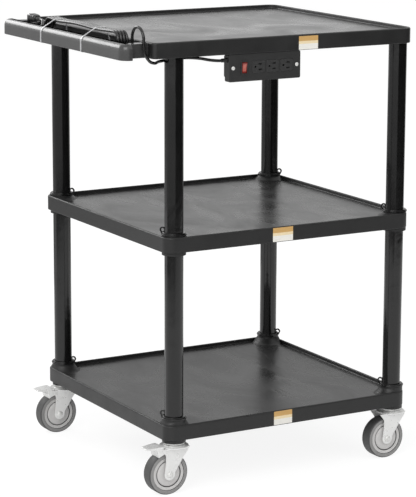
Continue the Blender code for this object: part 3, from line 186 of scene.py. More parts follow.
# Cord, its straps, its tie and its plug
CORD_RADIUS = 0.0035
CORD_START = (-0.1337, -0.3136, 1.0164)
CORD_STEP = 0.005
HANK_PITCH = 0.0077
HANK_FOLD = 0.021
HANK_LOOPS = 4
HANK_NEAR = -0.205
HANK_FAR = 0.135
HANK_X = -0.3221
HANK_Z = 1.0625
HANK_DRAW = 0.0025
LEAD_START_BACK = 0.008
LEAD_LENGTH = 0.069
LEAD_SHIFT = 0.041
STRAP_PLACES = [HANK_NEAR + share * (HANK_FAR - HANK_NEAR) for share in (0.26, 0.89)]
STRAP_WIDTH = 0.008
STRAP_THICKNESS = 0.0008
BAND_WIDTH = 0.0055
TIE_PLACE = (-0.3321, -0.3086, 1.068)
TIE_THICKNESS = 0.0012
TIE_WIDTH = 0.0035
TIE_TAIL = 0.011
TIE_EDGE = 0.0004
PLUG_X = -0.3441
PLUG_Y = 0.2033
PLUG_Z = 1.0725
PLUG_LENGTH = 0.036
PLUG_TAIL = 0.016
PLUG_TAIL_RADIUS = 0.0065
PLUG_TAIL_RIBS = 7
PLUG_RINGS = (
    (0.0, 0.015, 0.015, 0.006), (0.0012, 0.0178, 0.0172, 0.0062), (0.0035, 0.0202, 0.019, 0.0062),
    (0.0095, 0.0226, 0.0206, 0.006), (0.011, 0.0216, 0.02, 0.0058), (0.0122, 0.0216, 0.02, 0.0058),
    (0.0135, 0.0232, 0.0212, 0.0058), (0.0175, 0.0236, 0.0215, 0.0056), (0.0188, 0.0224, 0.0206, 0.0056),
    (0.02, 0.0224, 0.0206, 0.0056), (0.0213, 0.0238, 0.0218, 0.0055), (0.03, 0.024, 0.022, 0.0052),
    (0.0348, 0.024, 0.022, 0.005), (0.0356, 0.0234, 0.0214, 0.0047), (0.036, 0.0222, 0.0202, 0.0042),
)
BLADE_LENGTH = 0.0175
BLADE_WIDTH = 0.0063
BLADE_THICKNESS = 0.0015
BLADE_SEAT = 0.005
EARTH_RADIUS = 0.0024

# Camera and studio
CAMERA_PLACE = (-2.6803, -4.7350, 1.6401)
CAMERA_TURNS = (29.611, 11.763, -0.187)
FOCAL_PIXELS = 2241.3
PICTURE_WIDTH = 416
SENSOR_WIDTH = 36
WORLD_DIFFUSE = 0.55
FLOOR_REACH = 30
FLOOR_GLOW = 0.88
FLOOR_SHADE = 0.22


# Meshes

def new_object(name, data):
    obj = bpy.data.objects.new(name, data)
    bpy.context.scene.collection.objects.link(obj)
    return obj


def new_mesh(verts, faces):
    mesh = bpy.data.meshes.new("shape")
    mesh.from_pydata([tuple(v) for v in verts], [], faces)
    mesh.validate()
    return mesh


def at(x, y, z):
    return Matrix.Translation((x, y, z))


def turned(angle, axis):
    return Matrix.Rotation(radians(angle), 4, axis)


Z_TO_Y = turned(-90, "X")
Z_TO_X = turned(90, "Y")
BOX = at(BOX_X, BOX_FRONT, BOX_Z) @ turned(90, "X")


def arc(centre, radius, start, end, steps=4):
    angles = [radians(start + (end - start) * k / steps) for k in range(steps + 1)]
    return [(centre[0] + radius * cos(a), centre[1] + radius * sin(a)) for a in angles]


def rounded(points, steps=4):
    """Points of a path whose corners given as (a, b, radius) are turned into arcs."""
    out = []
    count = len(points)
    for i, point in enumerate(points):
        radius = point[2] if len(point) > 2 else 0
        here = Vector(point[:2])
        if not radius:
            out.append(tuple(here))
            continue
        before = (Vector(points[i - 1][:2]) - here).normalized()
        after = (Vector(points[(i + 1) % count][:2]) - here).normalized()
        half = before.angle(after) / 2
        reach = radius / tan(half)
        centre = here + (before + after).normalized() * radius / sin(half)
        start = here + before * reach - centre
        end = here + after * reach - centre
        turn = atan2(start.x * end.y - start.y * end.x, start.dot(end))
        for k in range(steps + 1):
            out.append(tuple(centre + Matrix.Rotation(turn * k / steps, 2) @ start))
    return out


def rectangle(x, y, corner):
    return [(sx * x, sy * y, corner) for sx, sy in ((-1, -1), (1, -1), (1, 1), (-1, 1))]


def level_ring(corners, steps, z):
    return [(x, y, z) for x, y in rounded(corners, steps)]


@contextmanager
def edited(mesh):
    bm = bmesh.new()
    bm.from_mesh(mesh)
    yield bm
    bm.to_mesh(mesh)
    bm.free()


def outward(mesh):
    with edited(mesh) as bm:
        bmesh.ops.remove_doubles(bm, verts=bm.verts, dist=1e-6)
        bmesh.ops.recalc_face_normals(bm, faces=bm.faces)
    return mesh


def loft(rings):
    """Quads between rings of as many points each, with a face over each end."""
    count = len(rings[0])
    verts = [point for ring in rings for point in ring]
    last = len(verts) - count
    faces = []
    for k in range(0, last, count):
        for i in range(count):
            j = (i + 1) % count
            faces.append((k + i, k + j, k + count + j, k + count + i))
    faces += [tuple(range(count))[::-1], tuple(range(last, last + count))]
    return outward(new_mesh(verts, faces))


def lathe(profile, sides):
    """A profile of (radius, height) points turned about Z. One that starts off the axis is a closed ring."""
    verts = []
    rows = []
    for radius, height in profile:
        if radius <= 1e-7:
            rows.append([len(verts)] * sides)
            verts.append((0, 0, height))
            continue
        rows.append(list(range(len(verts), len(verts) + sides)))
        for k in range(sides):
            angle = 2 * pi * k / sides
            verts.append((radius * cos(angle), radius * sin(angle), height))
    pairs = list(zip(rows, rows[1:]))
    if profile[0][0] > 1e-7:
        pairs.append((rows[-1], rows[0]))
    faces = []
    for a, b in pairs:
        for k in range(sides):
            j = (k + 1) % sides
            face = [a[k], a[j], b[j], b[k]]
            face = [v for n, v in enumerate(face) if v not in face[:n]]
            if len(face) > 2:
                faces.append(face)
    return outward(new_mesh(verts, faces))


def cylinder(radius, bottom, top, sides=32):
    return lathe([(0, top), (radius, top), (radius, bottom), (0, bottom)], sides)


def prism(outlines, thickness, edge=0.0, steps=2):
    """Outlines of (x, z) points, the first outside and the rest holes, thick along Y with rounded edges."""
    curve = bpy.data.curves.new("prism", "CURVE")
    curve.dimensions = "2D"
    curve.fill_mode = "BOTH"
    curve.extrude = thickness / 2 - edge
    curve.bevel_depth = edge
    curve.bevel_resolution = steps
    curve.offset = -edge
    for outline in outlines:
        spline = curve.splines.new("POLY")
        spline.points.add(len(outline) - 1)
        for point, (x, z) in zip(spline.points, outline):
            point.co = (x, z, 0, 1)
        spline.use_cyclic_u = True
    mesh = evaluated(curve)
    mesh.transform(turned(90, "X"))
    return mesh


def block(low, high, edge=0.0, steps=3):
    """A box between two corners with all its edges rounded."""
    low, high = Vector(low), Vector(high)
    mesh = bpy.data.meshes.new("block")
    with edited(mesh) as bm:
        bmesh.ops.create_cube(bm, size=1)
        bmesh.ops.scale(bm, vec=high - low, verts=bm.verts)
        bmesh.ops.translate(bm, vec=(low + high) / 2, verts=bm.verts)
        if edge:
            bmesh.ops.bevel(bm, geom=bm.edges[:], offset=edge, segments=steps, profile=0.5, affect="EDGES")
    return mesh


def moved(mesh, matrix):
    copy = mesh.copy()
    copy.transform(matrix)
    return copy


def shifted(mesh, x, y=0, z=0):
    return moved(mesh, at(x, y, z))


def joined(meshes):
    whole = bpy.data.meshes.new("joined")
    with edited(whole) as bm:
        for mesh in meshes:
            bm.from_mesh(mesh)
    return whole


def evaluated(data, tool=None, operation=None):
    """A curve's or mesh's shape as a mesh, after a boolean with a tool object if one is given."""
    obj = new_object("scratch", data)
    if tool:
        modifier = obj.modifiers.new("cut", "BOOLEAN")
        modifier.operation = operation
        modifier.object = tool
        modifier.solver = "EXACT"
    mesh = bpy.data.meshes.new_from_object(obj.evaluated_get(bpy.context.evaluated_depsgraph_get()))
    bpy.data.objects.remove(obj)
    return outward(mesh)


def boolean(mesh, operation, tools):
    for tool in tools:
        other = new_object("tool", tool)
        mesh = evaluated(mesh, other, operation)
        bpy.data.objects.remove(other)
    return mesh


def union(mesh, *tools):
    return boolean(mesh, "UNION", tools)


def cut(mesh, *tools):
    return boolean(mesh, "DIFFERENCE", tools)


def piece(name, mesh, material, replaces=None, body="cart", angle=32, weighted=False):
    """A piece in the row frame that rides on a body and stands for the CAD node named."""
    obj = new_object(name, mesh)
    mesh.materials.clear()
    mesh.materials.append(LOOKS[material])
    mesh.shade_smooth()
    mesh.set_sharp_from_angle(angle=radians(angle))
    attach(obj, body)
    if replaces:
        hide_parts(replaces)
    if weighted:
        obj.modifiers.new("weights", "WEIGHTED_NORMAL").keep_sharp = True
    return obj


# Materials

LOOKS = {}


def fill(tree, node, inputs):
    """Gives each input of a node its value, or links it to the socket given."""
    for key, value in inputs.items():
        if isinstance(value, bpy.types.NodeSocket):
            tree.links.new(value, node.inputs[key])
        else:
            node.inputs[key].default_value = value


def add_node(tree, kind, inputs=None, **settings):
    node = tree.nodes.new(kind)
    for key, value in settings.items():
        setattr(node, key, value)
    fill(tree, node, inputs or {})
    return node


class Shader:
    """A material's nodes, built one after another."""

    def __init__(self, name, metallic=0.0, specular=0.5):
        material = bpy.data.materials.new(f"{name}_look")
        material.use_nodes = True
        LOOKS[name] = material
        self.tree = material.node_tree
        self.set({"Metallic": metallic, "Specular IOR Level": specular})
        self.place = self.add("ShaderNodeTexCoord").outputs["Object"]

    def set(self, inputs):
        fill(self.tree, self.tree.nodes["Principled BSDF"], inputs)

    def add(self, kind, inputs=None, **settings):
        return add_node(self.tree, kind, inputs, **settings)

    def noise(self, scale, detail=4.0, rough=0.5, distortion=0.0, stretch=None):
        place = self.place
        if stretch:
            place = self.add("ShaderNodeMapping", {"Vector": place, "Scale": stretch}).outputs["Vector"]
        return self.add("ShaderNodeTexNoise", {
            "Scale": scale, "Detail": detail, "Roughness": rough, "Distortion": distortion, "Vector": place,
        }).outputs["Fac"]

    def spread(self, source, low, high, start=0.3, end=0.7):
        """A number from low to high as the source goes from start to end."""
        return self.add("ShaderNodeMapRange", {
            "Value": source, "From Min": start, "From Max": end, "To Min": low, "To Max": high,
        }).outputs["Result"]

    def maths(self, operation, *values):
        return self.add("ShaderNodeMath", dict(enumerate(values)), operation=operation).outputs[0]

    def away(self, source, middle):
        return self.maths("ABSOLUTE", self.maths("SUBTRACT", source, middle))

    def window(self, centre, half):
        """How far a place is from a centre in X and Z, in shares of a half width and height."""
        parts = self.add("ShaderNodeSeparateXYZ", {0: self.place}).outputs
        shares = [
            self.maths("DIVIDE", self.away(parts[axis], middle), reach)
            for axis, middle, reach in zip("XZ", centre, half)
        ]
        return self.maths("MAXIMUM", *shares)

    def tint(self, factor, first, second):
        """A blend of two colours, with their mean as the plain value under the link."""
        mix = self.add("ShaderNodeMix", {0: factor, 6: (*first, 1), 7: (*second, 1)}, data_type="RGBA")
        self.set({"Base Color": (*((a + b) / 2 for a, b in zip(first, second)), 1)})
        self.set({"Base Color": mix.outputs[2]})

    def rough(self, source, low, high):
        self.set({"Roughness": (low + high) / 2})
        self.set({"Roughness": self.spread(source, low, high)})

    def bump(self, height, distance, strength):
        inputs = {"Strength": strength, "Distance": distance, "Height": height}
        self.set({"Normal": self.add("ShaderNodeBump", inputs).outputs["Normal"]})


def grey(value, warm=0.0):
    return (value * (1 + warm), value, value * (1 - warm))


def surface(name, tones, noise, rough, rough_noise, relief, metallic=0.0, specular=0.5):
    """Tone, roughness and relief that follow noises. Roughness without its own follows the tone's."""
    shader = Shader(name, metallic, specular)
    cloud = shader.noise(*noise)
    shader.tint(cloud, *tones)
    shader.rough(shader.noise(*rough_noise) if rough_noise else cloud, *rough)
    if relief:
        shader.bump(shader.noise(*relief[0]), *relief[1:])


def make_materials():
    for row in (
        ("shelf_plastic", (grey(0.013), grey(0.023)), (14, 5, 0.6), (0.36, 0.50), None,
         ((900, 3), 0.00012, 0.6), 0, 0.42),
        # Painted light: the handle's black plastic gets about three times the trays' tone, standing in for
        # the light on its rail.
        ("handle_plastic", (grey(0.042), grey(0.066)), (40, 5, 0.6), (0.18, 0.28), None,
         ((700, 3), 0.0001, 0.5), 0, 0.55),
        ("box_plastic", (grey(0.024), grey(0.034)), (60, 4), (0.38, 0.52), (1400, 2),
         ((1400, 2), 0.00008, 0.6), 0, 0.4),
        ("receptacle_black", (grey(0.028), grey(0.040)), (200, 3), (0.36, 0.48), (500, 2),
         ((1500, 2), 0.00005, 0.5)),
        ("cord_black", (grey(0.008), grey(0.013)), (120, 4, 0.6), (0.20, 0.30), None,
         ((900, 3), 0.0001, 0.5), 0, 0.55),
        ("bright_steel", ((0.68, 0.68, 0.66), (0.80, 0.80, 0.78)), (300, 3), (0.16, 0.30), (600, 3),
         ((900, 2), 0.00004, 0.5), 1),
        ("rivet_steel", ((0.76, 0.76, 0.74), (0.90, 0.90, 0.88)), (300, 3), (0.32, 0.46), (600, 3),
         None, 0.2),
        ("zinc", ((0.80, 0.80, 0.79), (0.91, 0.91, 0.90)), (70, 5, 0.65, 0.4), (0.24, 0.40), None,
         ((500, 3), 0.00008, 0.5), 0.3),
        ("tyre_side", (grey(0.25, 0.01), grey(0.36, 0.01)), (70, 5, 0.65), (0.48, 0.64), None,
         ((800, 3), 0.0001, 0.5), 0, 0.4),
        # The tyre's own grey, also used as painted shade in the hub's groove.
        ("tyre_grey", (grey(0.060), grey(0.110)), (55, 6, 0.65), (0.46, 0.66), None,
         ((800, 3), 0.00015, 0.5), 0, 0.4),
        ("hub_grey", (grey(0.61, 0.015), grey(0.72, 0.015)), (60, 4, 0.6), (0.36, 0.50), None,
         ((900, 2), 0.00006, 0.5), 0, 0.45),
    ):
        surface(*row)
    for name, tone in LABEL_TONES.items():
        tones = [tuple(min(1, v * share) for v in tone) for share in (0.94, 1.05)]
        surface(f"label_{name}", tones, (260, 3), (0.32, 0.46), (500, 2), None, 0, 0.45)

    deck = Shader("deck_plastic", specular=0.6)
    slabs = deck.noise(7, 6, 0.55, 1.2, (1.0, 0.55, 1.0))
    veins = deck.noise(2.6, 3, 0.5, 2.2, (1.0, 0.35, 1.0))
    crack = deck.spread(deck.away(veins, 0.5), 1.0, 0.0, 0.0, 0.012)
    height = deck.maths("ADD", slabs, deck.maths("MULTIPLY", deck.noise(120, 4, 0.6), 0.05))
    deck.tint(slabs, grey(0.020), grey(0.034))
    deck.rough(slabs, 0.21, 0.39)
    deck.bump(deck.maths("SUBTRACT", height, deck.maths("MULTIPLY", crack, 0.18)), 0.0019, 0.65)

    leg = Shader("leg_plastic")
    flow = leg.noise(22, 3, 0.5, 0.6, (1.0, 1.0, 0.12))
    wave = leg.noise(9, 3, 0.5, 0.8, (1.0, 1.0, 0.9))
    leg.tint(leg.noise(30, 4), grey(0.004), grey(0.009))
    leg.rough(flow, 0.10, 0.22)
    leg.bump(leg.maths("ADD", flow, leg.maths("MULTIPLY", wave, 2.0)), 0.0012, 0.5)

    red = Shader("switch_red")
    # Painted highlight: the rocker's face is orange-red over its middle and darker red toward its edges.
    from_middle = red.window((BOX_X + SWITCH_OFFSET, BOX_Z), (0.0048, 0.0094))
    red.tint(red.spread(from_middle, 1.0, 0.0, 0.72, 1.05), (0.19, 0.014, 0.010), (0.50, 0.13, 0.10))
    red.rough(red.noise(400, 2), 0.18, 0.30)

    film = Shader("film", specular=0.6)
    film.set({"Base Color": (0.93, 0.93, 0.95, 1), "Alpha": 0.38})
    film.rough(film.noise(300, 3, 0.5, 0.0, (1.0, 0.1, 1.0)), 0.08, 0.22)
    film.bump(film.noise(160, 3, 0.6), 0.0003, 0.5)


# Camera, floor and light

def camera():
    yaw, pitch, roll = (radians(turn) for turn in CAMERA_TURNS)
    forward = Vector((sin(yaw) * cos(pitch), cos(yaw) * cos(pitch), -sin(pitch)))
    right = Vector((cos(yaw), -sin(yaw), 0))
    down = forward.cross(right)
    turned_right = cos(roll) * right + sin(roll) * down
    turned_down = -sin(roll) * right + cos(roll) * down
    data = bpy.data.cameras.new("camera")
    data.sensor_fit = "HORIZONTAL"
    data.sensor_width = SENSOR_WIDTH
    data.lens = SENSOR_WIDTH * FOCAL_PIXELS / PICTURE_WIDTH
    data.clip_end = 200
    matrix = Matrix((turned_right, -turned_down, -forward)).transposed().to_4x4()
    matrix.translation = CAMERA_PLACE
    obj = new_object("camera", data)
    obj.matrix_world = matrix
    bpy.context.scene.camera = obj


def area_light(name, place, target, size, power):
    data = bpy.data.lights.new(name, "AREA")
    data.shape = "RECTANGLE"
    data.size, data.size_y = size
    data.energy = power
    obj = new_object(name, data)
    obj.location = place
    obj.rotation_euler = (Vector(target) - Vector(place)).to_track_quat("-Z", "Y").to_euler()


def white_rays(tree):
    """One for camera, glossy and transmission rays, and zero for the others."""
    rays = add_node(tree, "ShaderNodeLightPath").outputs
    total = rays["Is Camera Ray"]
    for name in ("Is Glossy Ray", "Is Transmission Ray"):
        total = add_node(tree, "ShaderNodeMath", {0: total, 1: rays[name]}, operation="MAXIMUM").outputs[0]
    return total


def world():
    sky = bpy.data.worlds.new("studio")
    sky.use_nodes = True
    tree = sky.node_tree
    level = add_node(
        tree, "ShaderNodeMapRange", {"Value": white_rays(tree), "To Min": WORLD_DIFFUSE, "To Max": 1.0}
    )
    fill(tree, tree.nodes["Background"], {"Color": (1, 1, 1, 1), "Strength": level.outputs["Result"]})
    bpy.context.scene.world = sky


def matte(name, mesh, tone, inputs):
    """A stage object of one matte tone, with its node tree and shader."""
    obj = new_object(name, mesh)
    material = bpy.data.materials.new(name)
    material.use_nodes = True
    mesh.materials.append(material)
    tree = material.node_tree
    shader = tree.nodes["Principled BSDF"]
    fill(tree, shader, {"Base Color": (tone, tone, tone, 1), "Specular IOR Level": 0.0, **inputs})
    return obj, tree, shader


def floor():
    corners = [(x, y, 0) for x, y, _ in rectangle(FLOOR_REACH, FLOOR_REACH, 0)]
    obj, tree, shader = matte("floor", new_mesh(corners, [(0, 1, 2, 3)]), 0.9, {"Roughness": 0.9})
    pale = add_node(tree, "ShaderNodeBsdfDiffuse", {"Color": (FLOOR_SHADE, FLOOR_SHADE, FLOOR_SHADE, 1)})
    glow = add_node(tree, "ShaderNodeEmission", {"Strength": FLOOR_GLOW})
    seen = add_node(tree, "ShaderNodeAddShader", {0: pale.outputs[0], 1: glow.outputs[0]})
    mix = add_node(
        tree, "ShaderNodeMixShader", {0: white_rays(tree), 1: shader.outputs[0], 2: seen.outputs[0]}
    )
    fill(tree, tree.nodes["Material Output"], {"Surface": mix.outputs[0]})


def card(name, start, end, rings, glow):
    """A bent card that only reflections see, through (distance, height) rings between two angles."""
    steps = 24
    verts = []
    for distance, height in rings:
        verts += [(x, y, height) for x, y in arc((0, 0), distance, start, end, steps)]
    faces = [
        (row + k, row + k + 1, row + k + steps + 2, row + k + steps + 1)
        for row in range(0, (len(rings) - 1) * (steps + 1), steps + 1) for k in range(steps)
    ]
    obj, _, _ = matte(name, new_mesh(verts, faces), 0.02, {
        "Roughness": 1.0, "Emission Color": (1, 1, 1, 1), "Emission Strength": glow,
    })
    obj.visible_camera = False
    obj.visible_diffuse = False
    obj.visible_shadow = False


def studio():
    bpy.context.scene.view_settings.view_transform = "Standard"
    world()
    floor()
    card("front_card", -104, 8, ((3.1, 0.001), (4.0, 0.002), (4.4, 3.2)), 0.0)
    card("side_card", -200, -104, ((2.5, 0.001), (3.6, 0.002)), 0.0)
    card("side_wall", -262, -104, ((3.7, 0.002), (3.7, 0.6)), 0.55)
    card("back_card_low", 10, 130, ((2.0, 0.002), (2.0, 0.62)), 0.42)
    card("back_card_high", 10, 130, ((2.0, 0.62), (2.0, 1.10)), 0.66)
    area_light("key", (-3.2, -2.4, 3.6), (0, 0, 0.8), (2.6, 2.6), 90)
    area_light("fill", (2.2, -4.2, 2.6), (0, 0, 0.6), (2.0, 2.0), 25)
    area_light("back", (-1.2, 3.5, 2.45), (0, 0, 1.0), (2.6, 1.1), 46)


# Cord

def smooth_route(points, spacing):
    """Points at an even spacing along a smooth curve through the given ones."""
    points = [Vector(p) for p in points]
    padded = [2 * points[0] - points[1], *points, 2 * points[-1] - points[-2]]
    fine = []
    for a, b, c, d in zip(padded, padded[1:], padded[2:], padded[3:]):
        before, span, after = (sqrt((q - p).length) for p, q in ((a, b), (b, c), (c, d)))
        start = (b - a) * span / before - (c - a) * span / (before + span) + (c - b)
        end = (c - b) - (d - b) * span / (span + after) + (d - c) * span / after
        for t in np.linspace(0, 1, 12, endpoint=False):
            bend = (3 * (c - b) - 2 * start - end) * t**2 + (2 * (b - c) + start + end) * t**3
            fine.append(b + start * t + bend)
    fine.append(points[-1])
    fine = np.array(fine)
    along = np.concatenate(([0], np.cumsum(np.linalg.norm(np.diff(fine, axis=0), axis=1))))
    places = np.linspace(0, along[-1], round(along[-1] / spacing) + 1)
    return [tuple(np.interp(s, along, fine[:, k]) for k in range(3)) for s in places]


def hank_column(k):
    return HANK_X - k * HANK_PITCH


def hank_run(k, near_to_far, level):
    """One run of the hank along Y, low or high, drawn in where the straps hold it."""
    length = HANK_FAR - HANK_NEAR
    shares = [0] + [(place - HANK_NEAR) / length for place in STRAP_PLACES] + [1]
    shares.insert(2, sum(shares[1:3]) / 2)
    points = []
    for i, share in enumerate(shares):
        drawn = HANK_DRAW if i in (1, 3) else 0
        climb = min(max(i - 1, 0), 2) / 2 if near_to_far else 1
        z = HANK_Z + level * (HANK_FOLD - drawn)
        points.append((hank_column(k + climb), HANK_NEAR + share * length, z))
    return points if near_to_far else points[::-1]


def hank_fold(column, y, turn):
    half_turn = arc((y, HANK_Z), HANK_FOLD, -90 * turn, 180 - 90 * turn, 16)
    return [(hank_column(column), *point) for point in half_turn[1:-1]]


def ease(t):
    t = min(max(t, 0), 1)
    return t * t * (3 - 2 * t)


def plug_lead():
    x0, y0, z0 = hank_column(HANK_LOOPS + 1), HANK_FAR - LEAD_START_BACK, HANK_Z - HANK_FOLD
    points = []
    for i in range(9):
        y = y0 + LEAD_LENGTH * i / 8
        shift = ease((y - (y0 + LEAD_LENGTH - LEAD_SHIFT)) / LEAD_SHIFT)
        points.append((x0 + (PLUG_X - x0) * shift, y, z0 + (PLUG_Z - z0) * ease(i / 8)))
    return points + [(PLUG_X, PLUG_Y - GAP, PLUG_Z)]


def cord_points():
    """From the gland, behind the near leg, up past the near arm and over it, to the hank and the plug."""
    low = HANK_Z - HANK_FOLD
    route = [
        CORD_START, (CORD_START[0] - 2 * CORD_RADIUS, CORD_START[1], CORD_START[2]),
        (-0.163, -0.311, 1.019), (-0.184, -0.302, 1.023), (-0.209, -0.284, 1.024),
        (-0.233, -0.2695, 1.021), (-0.2536, -0.2665, 1.019), (-0.277, -0.276, 1.018),
        (-0.298, -0.2975, 1.018), (-0.317, -0.308, 1.0245), (-0.3295, -0.3092, 1.042),
        (-0.3321, -0.309, 1.06), (-0.3321, -0.3072, 1.082), (-0.3321, -0.297, 1.0955),
        (-0.3321, -0.281, 1.1), (-0.3321, -0.265, 1.0955), (-0.3321, -0.2548, 1.082),
        (-0.3318, -0.2528, 1.064), (-0.3295, -0.248, 1.05), (-0.3255, -0.236, 1.0428),
        (HANK_X, HANK_NEAR - GAP - 4 * CORD_RADIUS, low), (HANK_X, HANK_NEAR - GAP - 2 * CORD_RADIUS, low),
    ]
    for k in range(HANK_LOOPS):
        route += hank_run(k, True, -1)
        route += hank_fold(k + 1, HANK_FAR, 1)
        route += hank_run(k, False, 1)
        route += hank_fold(k + 1, HANK_NEAR, -1)
    route += hank_run(HANK_LOOPS, True, -1)[:-1]
    return smooth_route(route + plug_lead(), CORD_STEP)


def cord():
    points = cord_points()
    curve = bpy.data.curves.new("power_cord_lead", "CURVE")
    curve.dimensions = "3D"
    curve.bevel_depth = CORD_RADIUS
    curve.bevel_resolution = 4
    curve.use_fill_caps = True
    spline = curve.splines.new("POLY")
    spline.points.add(len(points) - 1)
    for point, place in zip(spline.points, points):
        point.co = (*place, 1)
    spline.use_smooth = True
    curve.materials.append(LOOKS["cord_black"])
    obj = new_object("power_cord_lead", curve)
    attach(obj, "cart")
    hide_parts("power_cord", "cord_hank")
    extras = plug() + [strap(i, place) for i, place in enumerate(STRAP_PLACES)] + [tie(points)]


def plug():
    """A moulded plug with a ribbed tail, on the axis of the cord's end, looking along Y."""
    back = PLUG_Y + PLUG_TAIL
    body = loft([
        [(x, y, z) for x, z in rounded(rectangle(wide / 2, high / 2, corner), 5)]
        for y, wide, high, corner in PLUG_RINGS
    ])
    growth = PLUG_TAIL_RADIUS - CORD_RADIUS
    tail = [(0, 0), (CORD_RADIUS, 0)]
    for k in range(PLUG_TAIL_RIBS):
        low, high = k / PLUG_TAIL_RIBS, (k + 0.62) / PLUG_TAIL_RIBS
        tail += [(CORD_RADIUS + 0.0003 + growth * share, PLUG_TAIL * share) for share in (low, high)]
        tail.append((CORD_RADIUS + 0.0001 + growth * high * 0.75, PLUG_TAIL * high))
    tail += [(PLUG_TAIL_RADIUS, PLUG_TAIL + OVERRUN), (0, PLUG_TAIL + OVERRUN)]
    tail = moved(lathe(tail, 32), at(0, -PLUG_TAIL, 0) @ Z_TO_Y)
    shell = piece("plug_body", joined([body, tail]), "cord_black", "power_plug")
    shell.matrix_world = at(PLUG_X, back, PLUG_Z)
    pieces = [shell]
    face = back + PLUG_LENGTH
    half = BLADE_WIDTH / 2
    outline = rounded([
        (-half, -BLADE_SEAT), (half, -BLADE_SEAT),
        (half, BLADE_LENGTH, 0.0016), (-half, BLADE_LENGTH, 0.0016),
    ], 5)
    hole = arc((0, BLADE_LENGTH - 0.0036), 0.0013, 0, 345, 23)
    blade = prism([outline, hole], BLADE_THICKNESS, 0.0002, 1)
    for side, name in ((-1, "plug_blade_left"), (1, "plug_blade_right")):
        place = at(PLUG_X + side * SLOT_PITCH / 2, face, PLUG_Z - SLOT_SHIFT)
        bar = moved(blade, place @ turned(90, "X") @ turned(90, "Z") @ turned(90, "X"))
        pieces.append(piece(f"{name}_bar", bar, "bright_steel", name))
    pin = lathe([
        (0, BLADE_LENGTH), (0.0012, BLADE_LENGTH - 0.0003), (0.0020, BLADE_LENGTH - 0.0012),
        (EARTH_RADIUS, BLADE_LENGTH - 0.0026), (EARTH_RADIUS, -BLADE_SEAT), (0, -BLADE_SEAT),
    ], 32)
    pin = moved(pin, at(PLUG_X, face, PLUG_Z + GROUND_SHIFT) @ Z_TO_Y)
    return pieces + [piece("plug_earth_bar", pin, "bright_steel", "plug_earth_pin")]


def strap(i, place):
    """A thin clear band round the rail and the hank's runs, pulled tight between them."""
    bottom = TOP_LIP - SHELF_HEIGHT + RAIL_CORNER
    circles = [
        (RAIL_OUTER + RAIL_ROUNDING, TOP_LIP - RAIL_ROUNDING, RAIL_ROUNDING),
        (RAIL_OUTER + RAIL_CORNER, bottom, RAIL_CORNER),
        (RAIL_OUTER + RAIL_WIDTH - RAIL_CORNER, bottom, RAIL_CORNER),
    ]
    for level, near_to_far in ((-1, True), (1, False)):
        for k in range(HANK_LOOPS + (1 if near_to_far else 0)):
            run = np.array(sorted(hank_run(k, near_to_far, level), key=lambda point: point[1]))
            for y in (place - STRAP_WIDTH / 2, place, place + STRAP_WIDTH / 2):
                x, z = (np.interp(y, run[:, 1], run[:, axis]) for axis in (0, 2))
                circles.append((x, z, CORD_RADIUS))
    outlines = []
    for spread in (GAP + STRAP_THICKNESS, GAP):
        cloud = []
        for x, z, radius in circles:
            cloud += arc((x, z), radius + spread, 0, 350, 35)
        outlines.append([cloud[i] for i in convex_hull_2d([Vector(point) for point in cloud])])
    mesh = shifted(prism(outlines, BAND_WIDTH), 0, place)
    return piece(f"strap_band_{i + 1}", mesh, "film", f"cord_strap_{i + 1}", angle=20)


def tie(points):
    """A small tie round the rising stretch, with its tail to the front."""
    centre = Vector(TIE_PLACE)
    near = min(range(1, len(points) - 1), key=lambda i: (Vector(points[i]) - centre).length)
    along = Vector(points[near + 1]) - Vector(points[near - 1])
    turn = at(*TIE_PLACE) @ Vector((0, 0, 1)).rotation_difference(along).to_matrix().to_4x4()
    inner = CORD_RADIUS + GAP / 3
    outer = CORD_RADIUS + GAP + TIE_THICKNESS
    half = TIE_WIDTH / 2
    ring = lathe([
        (outer, half - TIE_EDGE), (outer, -half + TIE_EDGE), (outer - TIE_EDGE, -half), (inner, -half),
        (inner, half), (outer - TIE_EDGE, half),
    ], 32)
    head = block((-0.0018, -outer - 0.0016, -0.0020), (0.0018, -outer + 0.0006, 0.0020), 0.0005, 2)
    tail = block((-0.0006, -outer - TIE_TAIL, -TIE_WIDTH / 3), (0.0006, -outer, TIE_WIDTH / 3), 0.0003, 2)
    return piece("tie_loop", moved(joined([ring, head, tail]), turn), "cord_black", "cord_tie")


# Shelves

def tray_ring(left, radius_left, inset, z):
    """A ring of the tray's plan, drawn in by an inset, with its rounded corners."""
    half_y = SHELF_HALF_Y - inset
    near = max(radius_left - inset, SMALLEST_CORNER)
    far = max(SHELF_CORNER - inset, SMALLEST_CORNER)
    return level_ring((
        (left + inset, -half_y, near), (SHELF_RIGHT - inset, -half_y, far),
        (SHELF_RIGHT - inset, half_y, far), (left + inset, half_y, near),
    ), 8, z)


def cross(radius, bottom, top, edge=0.0):
    """Four like posts on the grid of the legs."""
    profile = [(0, top), (radius - edge, top)]
    if edge:
        profile += arc((radius - edge, top - edge), edge, 67.5, 0, 3)
    post = lathe(profile + [(radius, bottom), (0, bottom)], 64)
    return [shifted(post, x, y) for x, y in PLACES.values()]


def flares(left, radius_left, rise):
    """Shallow cones that run from the post heads down to the deck, kept within the tray's own plan."""
    top = rise - FLARE_DROP
    bottom = -LIP_HEIGHT - DECK_THICKNESS / 2
    profile = [(0, top)]
    for share in np.linspace(0, 1, 9):
        radius = POST_HEAD_RADIUS - OVERRUN + (FLARE_REACH + OVERRUN) * share
        profile.append((radius, top - (rise + LIP_HEIGHT) * (1 - (1 - share) ** 2)))
    cone = lathe(profile + [(POST_HEAD_RADIUS + FLARE_REACH, bottom), (0, bottom)], 64)
    levels = (-LIP_HEIGHT - DECK_THICKNESS, rise + OVERRUN)
    plan = loft([tray_ring(left, radius_left, LIP_EDGE, z) for z in levels])
    return [boolean(shifted(cone, x, y), "INTERSECT", [plan]) for x, y in PLACES.values()]


